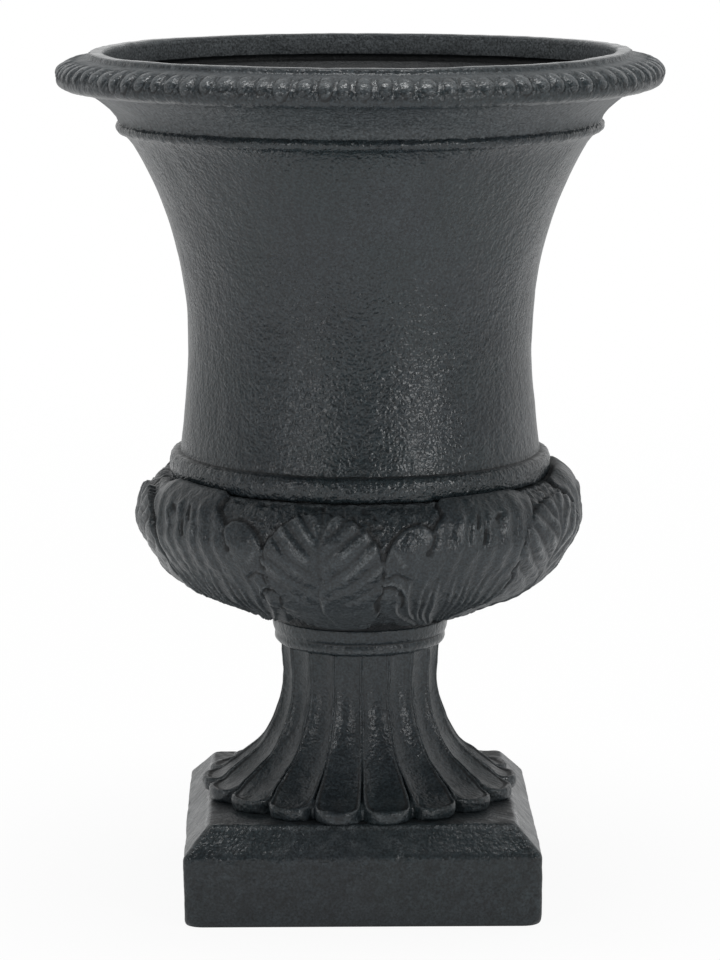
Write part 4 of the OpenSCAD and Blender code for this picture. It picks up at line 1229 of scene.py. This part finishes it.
class URN_OT_plinth(bpy.types.Operator):
    """Makes the chamfered square plinth, hollow from below, with its soft, chipped edges"""
    bl_idname = "urn.plinth"
    bl_label = "Plinth"

    def execute(self, context):
        half, top_half, edge = PLINTH_W / 2, PLINTH_TOP_W / 2, PLINTH_H - CHAMFER_H
        shape = softened([(half - 3.6, 0), (half - 1.5, 0.8), (half - 0.6, 4.5), (half, edge),
                          (top_half, PLINTH_H), (top_half - 9.0, PLINTH_H)], 3.4, 5)
        square = [shape[0]]
        for p, q in zip(shape[:-1], shape[1:]):
            count = max(1, int(np.linalg.norm(q - p) / 3.4))
            square += [p + (q - p) * t for t in np.linspace(0, 1, count + 1)[1:]]
        square = np.array(square)
        corner = 5.0 + 8.0 * np.maximum(0, 1 - square[:, 1] / 14.0) ** 2
        side, turn = 84, 9
        loops = self.wear_and_painted_light(np.array([at_level(frame_loop(r, r, c, side, side, turn), z)
                                    for (r, z), c in zip(square, corner)]))
        hole = outward(loops[-1])
        rows = [loops]
        rim = at_level(hole * (SLAB_HOLE_R + 0.8), PLINTH_H)
        for t in (0.16, 0.34, 0.5, 0.64, 0.78, 0.9):
            mixed = loops[-1] * (1 - t) + rim * t
            mixed[:, 2] = PLINTH_H
            rows.append(mixed[None])
        # The slab's hole, and then the hollow from the slab down to the ground
        under = [(SLAB_HOLE_R + 0.8, PLINTH_H), (SLAB_HOLE_R, PLINTH_H - 0.8),
                 (SLAB_HOLE_R, UNDER_SLAB_Z + 0.8), (SLAB_HOLE_R + 0.8, UNDER_SLAB_Z)]
        rows.append(np.array([at_level(hole * r, z) for r, z in under]))
        inside = [(108.0, UNDER_SLAB_Z), (115.0, 59.2), (122.0, 51.9), (129.25, 43.0),
                  (128.9, 32.0), (128.5, 20.0), (128.1, 9.0), (127.9, 2.0), (128.5, 0.0)]
        hollow = np.array([at_level(frame_loop(r, r, 4.0, side, side, turn), z)
                           for r, z in inside])
        last = rows[-1][-1]
        for t in (0.35, 0.7):
            rows.append((last * (1 - t) + hollow[0] * t)[None])
        rows.append(hollow)
        rings = np.concatenate(rows)
        # Painted light and shade: the slab and the hollow darker, the upright faces darker and the
        # chamfer and top lighter, dark lines along the chamfer's edges with lighter bands just
        # below them, and darker at the foot.
        relief = np.full(rings.shape[:2], -0.32)
        z, face = square[:, 1:], rings[:len(square)]
        patch = lumps(face, 8.0, 35)
        relief[:len(square)] = (np.where(z < edge - 1, -0.34, 0.28 + 0.30 * patch)
                                + 0.30 * lumps(face, 4.0, 36)
                                - 0.95 * bump(z - edge - 0.6, 1.0) * ease(patch + 0.75)
                                + 0.50 * bump(z - edge + 2.4, 1.3) * ease(patch + 0.2)
                                - 0.80 * bump(z - PLINTH_H, 0.8)
                                + 0.55 * bump(z - PLINTH_H + 2.2, 1.0)
                                - 0.60 * bump(z, 1.5))
        piece = casting("plinth_casting", rings, relief=relief,
                        skin=[0.75 if k > edge else 0.8 for k in square[:, 1]]
                        + [0.9] * (len(rings) - len(square)))
        dressed(piece, URN, "cast_stone", "plinth")
        return {"FINISHED"}

    def wear_and_painted_light(self, loops):
        """Soft waves and small chips over the outside of the block."""
        at = loops * [1, 1, 1.4]
        h = 0.75 * lumps(at, 62.0, 31) + 0.45 * lumps(at, 19.0, 32) + 0.25 * lumps(at, 7.0, 33)
        xy = loops[..., :2]
        span = np.maximum(np.abs(xy[..., 0]), np.abs(xy[..., 1]))
        out = np.stack([ease((np.abs(xy[..., k]) - (span - 8.0)) / 8.0) * np.sign(xy[..., k])
                        for k in (0, 1)], -1)
        length = np.maximum(np.linalg.norm(out, axis=-1, keepdims=True), 1e-6)
        low = loops[..., 2]
        inward = np.clip(h, -0.8, 0.6)
        share = ease(low / 6.0) * (1 - ease((low - (PLINTH_H - 1.5)) / 1.4) * 0.7)
        made = loops.copy()
        made[..., :2] += out / length * (inward * share)[..., None]
        chip = 1.5 * ease((lumps(at, 9.0, 34) - 0.38) / 0.5)
        near = bump(low - (PLINTH_H - CHAMFER_H), 3.0) + bump(low - PLINTH_H, 2.5)
        made[..., :2] -= out / length * (chip * near)[..., None]
        return made


# ---------------------------------------------------------------- rod set

def swept(name, rows, columns=96, centre=(0.0, 0.0)):
    """A turned piece from a section (r, z), out side up and in side down, about a centre."""
    return casting(name, revolved(rows, turns(columns)) + [*centre, 0])


def capped(name, rings, low_z, high_z):
    """A solid turned piece: rings up its side, with a fan of faces over each end."""
    m, n = rings.shape[:2]
    points = np.concatenate([rings.reshape(-1, 3), [[0, 0, low_z], [0, 0, high_z]]])
    faces = ring_faces([n] * m, False)
    faces += [[m * n, (j + 1) % n, j] for j in range(n)]
    faces += [[m * n + 1, (m - 1) * n + j, (m - 1) * n + (j + 1) % n] for j in range(n)]
    return mesh_object(name, points, faces)


def threaded_rod():
    """The rod, cut with a thread at both ends and plain between."""
    step, columns, low_end, high_start = 0.3, 32, 82.0, 238.0
    z = np.concatenate([np.arange(ROD_Z, low_end, step), [low_end + 1, 120, 160, 200, 237],
                        np.arange(high_start, ROD_TOP_Z, step), [ROD_TOP_Z]])
    a = turns(columns)[None, :]
    phase = (z[:, None] / THREAD_PITCH - np.radians(a) / (2 * np.pi)) % 1.0
    cut = 0.95 * np.clip(np.abs(phase - 0.5) * 2.6 - 0.25, 0, 1)
    ends = np.minimum(ease((z - ROD_Z) / 1.6), ease((ROD_TOP_Z - z) / 1.6))
    plain = (z > low_end) & (z < high_start)
    r = np.where(plain[:, None], ROD_D / 2 - 0.55, ROD_D / 2 - cut)
    r = np.minimum(r, ROD_D / 2 - 1.1 * (1 - ends[:, None]))
    return capped("tie_rod_threaded", round_axis(r, a, z[:, None]), ROD_Z, ROD_TOP_Z)


def hex_nut(name, z, height):
    """A hexagon nut with turned corners and a countersunk bore."""
    columns, flat, bore = 96, NUT_AF / 2, ROD_D / 2 + 0.06
    a = turns(columns, 0.0)
    hexagon = flat / np.cos(np.radians((a + 30) % 60 - 30))
    rise = np.array([0.0, 0.15, 0.35, 0.55, 0.8, 1.05])
    cone = flat * 0.95 + rise / math.tan(math.radians(30))
    rows = [(z + d, np.minimum(hexagon, c)) for d, c in zip(rise, cone)]
    rows += [(z + height - d, np.minimum(hexagon, c)) for d, c in zip(rise[::-1], cone[::-1])]
    rows += [(z + height, bore + 0.6), (z + height - 0.6, bore), (z + 0.6, bore), (z, bore + 0.6)]
    return with_edges(casting(name, np.array([round_axis(r, a, level) for level, r in rows])), 32)


def with_edges(piece, angle):
    """The piece, shaded so that edges sharper than angle stay crisp."""
    mesh = bmesh.new()
    mesh.from_mesh(piece.data)
    for e in mesh.edges:
        e.smooth = len(e.link_faces) != 2 or e.calc_face_angle(0) < math.radians(angle)
    mesh.to_mesh(piece.data)
    mesh.free()
    return piece


def soft_washer(name, z, t, r_out, r_in, soft):
    """A flat ring with rounded edges, as a section turned about the rod."""
    corner = [(r_in + soft, z), (r_out - soft, z), (r_out, z + soft), (r_out, z + t - soft),
              (r_out - soft, z + t), (r_in + soft, z + t), (r_in, z + t - soft), (r_in, z + soft)]
    rows = []
    for k in range(8):
        rows.append(corner[k])
        if k in (1, 3, 5, 7):
            p, q = np.array(corner[k]), np.array(corner[(k + 1) % 8])
            sharp = {1: (r_out, z), 3: (r_out, z + t), 5: (r_in, z + t), 7: (r_in, z)}[k]
            rows.append(tuple(0.25 * p + 0.5 * np.array(sharp) + 0.25 * q))
    return with_edges(swept(name, np.array(rows)), 40)


class URN_OT_rod_set(bpy.types.Operator):
    """Makes the threaded rod with its nuts, washer, seal and the bar under the slab"""
    bl_idname = "urn.rod_set"
    bl_label = "Rod set"

    def execute(self, context):
        dressed(threaded_rod(), URN, "rod_steel", "tie_rod")
        for node, z, height in (("rod_top_nut", TOP_NUT_Z, NUT_H),
                                ("rod_bottom_nut", NUT_Z, NUT_H),
                                ("rod_lock_nut", LOCK_NUT_Z, LOCK_NUT_H)):
            dressed(hex_nut(f"{node}_hex", z, height), URN, "rod_steel", node)
        plate = soft_washer("plate_washer", WASHER_Z, WASHER_T, WASHER_R, ROD_HOLE_R, 0.4)
        dressed(plate, URN, "rod_steel", "rod_plate_washer")
        low, high, bulge = FLOOR_Z, FLOOR_Z + SEAL_T, SEAL_T / 2
        seal = np.concatenate([[(ROD_HOLE_R, low), (16.6, low)],
                               arc(16.7, low + bulge, 0.9, bulge, -80, 80, 7),
                               [(16.6, high), (ROD_HOLE_R, high)]])
        dressed(swept("seal_ring", seal), URN, "seal_rubber", "rod_seal")
        dressed(self.bar(), URN, "rod_steel", "bridge_bar")
        return {"FINISHED"}

    def bar(self):
        """The flat bar across the slab's opening, with rolled edges and its drilled hole."""
        z0, z1, soft = UNDER_SLAB_Z - BAR_T, UNDER_SLAB_Z, 1.0
        rows = []
        for inset, z in ((soft, z0), (0.3, z0 + 0.3), (0, z0 + soft), (0, z1 - soft),
                         (0.3, z1 - 0.3), (soft, z1)):
            rows.append(at_level(frame_loop(BAR_HALF_X - inset, BAR_HALF_Y - inset,
                                            1.6, 36, 14, 5), z))
        hole = outward(rows[-1])
        for z in (z1, z0):
            edge = at_level(hole * 6.6, z)
            ring = at_level(hole * ROD_HOLE_R, z - 0.4 if z == z1 else z + 0.4)
            outer = rows[5] if z == z1 else rows[0]
            spans = [outer * (1 - t) + edge * t for t in (0.4, 0.75)]
            rows += (spans + [edge, ring]) if z == z1 else ([ring, edge] + spans[::-1])
        return with_edges(casting("bridge_bar_flat", np.array(rows)), 35)


# ---------------------------------------------------------------- drains

class URN_OT_drains(bpy.types.Operator):
    """Makes the three flanged drain bushes and their lift-out plugs"""
    bl_idname = "urn.drains"
    bl_label = "Drains"

    def execute(self, context):
        for k, angle in enumerate(DRAIN_ANGLES, 1):
            bush = self.bush(k, drain_centre(angle))
            dressed(bush, URN, "bush_plastic", f"drain_bush_{k}")
            plug = self.plug(k, angle)
            dressed(plug, PLUGS[k - 1], "plug_rubber", f"drain_plug_{k}")
        return {"FINISHED"}

    def bush(self, k, centre):
        """A tube through the floor with a rounded flange on top."""
        low, floor, top = FLOOR_Z - BUSH_DEPTH, FLOOR_Z, FLOOR_Z + FLANGE_T
        rows = np.concatenate([
            [(DRAIN_R + 0.3, low), (BUSH_R - 0.7, low), (BUSH_R, low + 0.8), (BUSH_R, floor - 9.0),
             (BUSH_R, floor - 0.4), (BUSH_R + 0.1, floor), (FLANGE_R - 0.3, floor),
             (FLANGE_R, floor + 0.3)],
            arc(FLANGE_R - 1.2, top - 1.2, 1.2, 1.2, 0, 90, 6),
            [(DRAIN_R + 1.1, top), (DRAIN_R + 0.4, top - 0.25), (DRAIN_R, top - 1.0),
             (DRAIN_R, floor - 12.0), (DRAIN_R, low + 0.4)]])
        return with_edges(swept(f"drain_bush_{k}_moulded", rows, 72, centre), 38)

    def plug(self, k, angle):
        """Shank with three sealing ribs, a domed head and a tab with a finger hole."""
        z = FLOOR_Z + FLANGE_T
        low, seat, head = z + 0.3 - PLUG_LENGTH, z + 0.3, z + 4.3
        shank = [(0.6, low), (DRAIN_R - 1.9, low), (DRAIN_R - 1.2, low + 0.6)]
        for t in np.linspace(0.08, 0.94, 18):
            rib = 0.32 * max(0.0, math.cos(2 * math.pi * (t * 3.0 - 0.4))) ** 2
            shank.append((DRAIN_R - 1.05 + 0.4 * t + rib, low + PLUG_LENGTH * t))
        shank += [(DRAIN_R - 0.4, seat - 0.1), (DRAIN_R + 0.2, seat), (10.2, seat)]
        dome = [(10.8, seat + 0.4), (PLUG_HEAD_R, seat + 1.1)]
        dome += [(PLUG_HEAD_R - 0.9 * (1 - math.cos(t)), seat + 1.4 + 1.5 * math.sin(t))
                 for t in np.radians([20, 45, 70])]
        dome += [(9.4, seat + 3.2), (7.5, seat + 3.65), (4.5, seat + 3.9), (0.6, head - 0.3)]
        turned = capped(f"drain_plug_{k}_moulded", revolved(shank + dome, turns(64)),
                        low, dome[-1][1])
        tab = self.tab(head)
        made = bmesh.new()
        made.from_mesh(turned.data)
        made.from_mesh(tab.data)
        bmesh.ops.rotate(made, cent=(0, 0, 0), verts=made.verts,
                         matrix=Matrix.Rotation(math.radians(angle), 3, "Z"))
        x, y = drain_centre(angle)
        bmesh.ops.translate(made, verts=made.verts, vec=(x * MM, y * MM, 0))
        made.to_mesh(turned.data)
        made.free()
        bpy.data.objects.remove(tab)
        return with_edges(turned, 50)

    def tab(self, head):
        """The pull tab, thicker where it meets the head, with round corners and a finger hole."""
        low, high, half, thick = head - 1.2, head + 16.0, TAB_HALF_W, TAB_HALF_T
        count, squareness, hole_z = 64, 4.0, head + 8.0
        t = np.linspace(0, 2 * np.pi, count, endpoint=False)
        middle = [0, (low + high) / 2]
        power = 2 / squareness
        outline = np.stack([np.sign(np.cos(t)) * np.abs(np.cos(t)) ** power * half,
                            middle[1] + np.sign(np.sin(t)) * np.abs(np.sin(t)) ** power
                            * (high - low) / 2], 1)
        hole = np.stack([TAB_HOLE_R * np.cos(t), hole_z + TAB_HOLE_R * np.sin(t)], 1)
        rows = []
        for x, inset in ((-thick, 0.9), (-thick * 0.72, 0.25), (0.0, 0.0),
                         (thick * 0.72, 0.25), (thick, 0.9)):
            p = (outline - middle) * (1 - inset / half) + middle
            foot = 1 + 0.5 * ease((head + 2.0 - p[:, 1]) / 3.0)
            rows.append(np.column_stack([x * foot, p[:, 0], p[:, 1]]))
        for x, grow in ((thick, 0.7), (thick * 0.6, 0.15), (0.0, 0.0), (-thick * 0.6, 0.15),
                        (-thick, 0.7)):
            p = (hole - [0, hole_z]) * (1 + grow / TAB_HOLE_R) + [0, hole_z]
            rows.append(np.column_stack([np.full(count, x), p[:, 0], p[:, 1]]))
        return mesh_object("pull_tab", np.array(rows).reshape(-1, 3),
                           ring_faces([count] * len(rows), True))


# ---------------------------------------------------------------- stage

class URN_OT_stage(bpy.types.Operator):
    """Makes the pale floor, the soft studio light and the camera"""
    bl_idname = "urn.stage"
    bl_label = "Stage"

    def execute(self, context):
        scene, stage = context.scene, context.scene.urn_stage
        scene.view_settings.view_transform = "Standard"
        self.floor(stage)
        self.world(scene)
        self.lamp("right_panel", (1.55, -2.05, 0.92), (0.6, 0.8), stage.key)
        self.lamp("left_panel", (-1.45, -2.2, 0.90), (0.6, 0.8), stage.fill)
        self.lamp("top_panel", (0.0, -0.30, 2.5), (1.4, 0.28), stage.top)
        self.camera(scene)
        return {"FINISHED"}

    def floor(self, stage):
        """A pale floor that keeps the shadow, looks white and is clear from below."""
        mesh = bmesh.new()
        bmesh.ops.create_grid(mesh, x_segments=12, y_segments=12, size=9.0)
        data = bpy.data.meshes.new("studio_floor")
        mesh.to_mesh(data)
        mesh.free()
        floor = link("studio_floor", data)
        material, web, shader = new_material("studio_floor", stage.floor, 0.9)
        grain = web.noise(web.place(), 3.0, 2.0)
        web.feed(shader.inputs["Base Color"],
                 web.blend(grain, tuple(c * 0.985 for c in stage.floor), tuple(stage.floor)))
        glow = web.add("ShaderNodeEmission", {"Color": (1.0, 1.0, 1.0), "Strength": 1.0})
        seen = web.add("ShaderNodeLightPath")
        direct = web.math("MAXIMUM", seen.outputs["Is Camera Ray"],
                          seen.outputs["Is Transmission Ray"])
        away = web.add("ShaderNodeVectorMath", {0: web.place((1.0, 1.0, 0.0))},
                       operation="LENGTH").outputs["Value"]
        # Painted reflection: to glossy rays the floor glows, dimmer close to the urn as a painted
        # shadow and dimmer far away.
        lit = web.math("MINIMUM", web.ramp(away, 0.30, 0.80, 0.42, 0.95),
                       web.ramp(away, 1.3, 2.6, 0.95, 0.52))
        faded = web.math("ADD", web.ramp(away, 0.16, 0.60, 0.93, 0.985),
                         web.ramp(away, 0.8, 3.6, 0.0, 0.015))
        shown = web.math("MULTIPLY", direct, faded)
        share = web.math("MAXIMUM", shown,
                         web.math("MULTIPLY", seen.outputs["Is Glossy Ray"], lit))
        mix = web.add("ShaderNodeMixShader", {0: share, 1: shader.outputs[0], 2: glow.outputs[0]})
        below = web.add("ShaderNodeNewGeometry").outputs["Backfacing"]
        clear = web.add("ShaderNodeBsdfTransparent")
        sided = web.add("ShaderNodeMixShader", {0: below, 1: mix.outputs[0], 2: clear.outputs[0]})
        out = next(n for n in material.node_tree.nodes if n.type == "OUTPUT_MATERIAL")
        material.node_tree.links.new(sided.outputs[0], out.inputs[0])
        data.materials.append(material)

    def world(self, scene):
        """White to the camera, and a plain pale room to the object."""
        world = bpy.data.worlds.new("studio")
        scene.world = world
        world.use_nodes = True
        world.node_tree.nodes.clear()
        web = Web(world.node_tree)
        way = web.add("ShaderNodeTexCoord").outputs["Generated"]
        axes = web.add("ShaderNodeSeparateXYZ", {0: way})
        back = web.ramp(axes.outputs["Y"], -0.70, 0.28, 0.16, 0.92)
        up = web.ramp(axes.outputs["Z"], 0.1, 0.95, 1.0, 0.55)
        behind = web.ramp(axes.outputs["Y"], 0.55, 0.95, 1.0, 0.92)
        level = web.math("MULTIPLY", web.math("MULTIPLY", back, up), behind)
        rays = web.add("ShaderNodeLightPath").outputs
        shown = web.math("MAXIMUM", rays["Is Camera Ray"], rays["Is Transmission Ray"])
        strength = web.math("MAXIMUM", level, shown)
        light = web.add("ShaderNodeBackground", {"Color": (1.0, 1.0, 1.0), "Strength": strength})
        out = web.add("ShaderNodeOutputWorld")
        world.node_tree.links.new(light.outputs[0], out.inputs[0])

    def lamp(self, name, place, size, power):
        """A soft panel that points at the urn."""
        data = bpy.data.lights.new(name, "AREA")
        data.shape = "RECTANGLE"
        data.size, data.size_y = size
        data.energy = power
        lamp = link(name, data)
        lamp.location = place
        way = Vector(LAMP_AIM) - Vector(place)
        lamp.rotation_euler = way.to_track_quat("-Z", "Y").to_euler()

    def camera(self, scene):
        """The camera at the photograph's viewing angle."""
        data = bpy.data.cameras.new("photo_view")
        data.lens, data.sensor_width, data.clip_end = LENS, SENSOR_W, 60.0
        camera = link("photo_view", data)
        turn, pitch = math.radians(VIEW_TURN), math.radians(VIEW_PITCH)
        camera.location = (VIEW_AWAY * math.sin(turn), -VIEW_AWAY * math.cos(turn), VIEW_Z)
        camera.rotation_euler = (math.pi / 2 - pitch, 0, turn)
        scene.camera = camera


# ---------------------------------------------------------------- panel and running

class URN_PT_build(bpy.types.Panel):
    """Builds the urn and its stage, and shows the sizes and colours to change"""
    bl_idname = "URN_PT_build"
    bl_label = "Classical urn planter"
    bl_space_type = "VIEW_3D"
    bl_region_type = "UI"
    bl_category = "Urn"

    def draw(self, context):
        column = self.layout.column()
        for step in STEPS:
            column.operator(step.bl_idname)
        for part in (context.scene.urn_shape, context.scene.urn_finish, context.scene.urn_stage):
            box = self.layout.box()
            for name in type(part).__annotations__:
                box.prop(part, name)


STEPS = (URN_OT_finishes, URN_OT_body, URN_OT_bowl, URN_OT_stem, URN_OT_plinth,
         URN_OT_rod_set, URN_OT_drains, URN_OT_stage)
SETTINGS = {"urn_shape": UrnShape, "urn_finish": UrnFinish, "urn_stage": UrnStage}


def register():
    """Registers the settings, the operators and the panel."""
    for kind in (*SETTINGS.values(), *STEPS, URN_PT_build):
        bpy.utils.register_class(kind)
    for name, kind in SETTINGS.items():
        setattr(bpy.types.Scene, name, bpy.props.PointerProperty(type=kind))


def unregister():
    """Takes back what register did, the other way round."""
    for name in SETTINGS:
        delattr(bpy.types.Scene, name)
    for kind in reversed((*SETTINGS.values(), *STEPS, URN_PT_build)):
        bpy.utils.unregister_class(kind)


def main():
    """Builds every piece in order."""
    register()
    bpy.ops.urn.finishes()
    bpy.ops.urn.body()
    bpy.ops.urn.bowl()
    bpy.ops.urn.stem()
    bpy.ops.urn.plinth()
    bpy.ops.urn.rod_set()
    bpy.ops.urn.drains()
    bpy.ops.urn.stage()


if __name__ == "__main__":
    main()
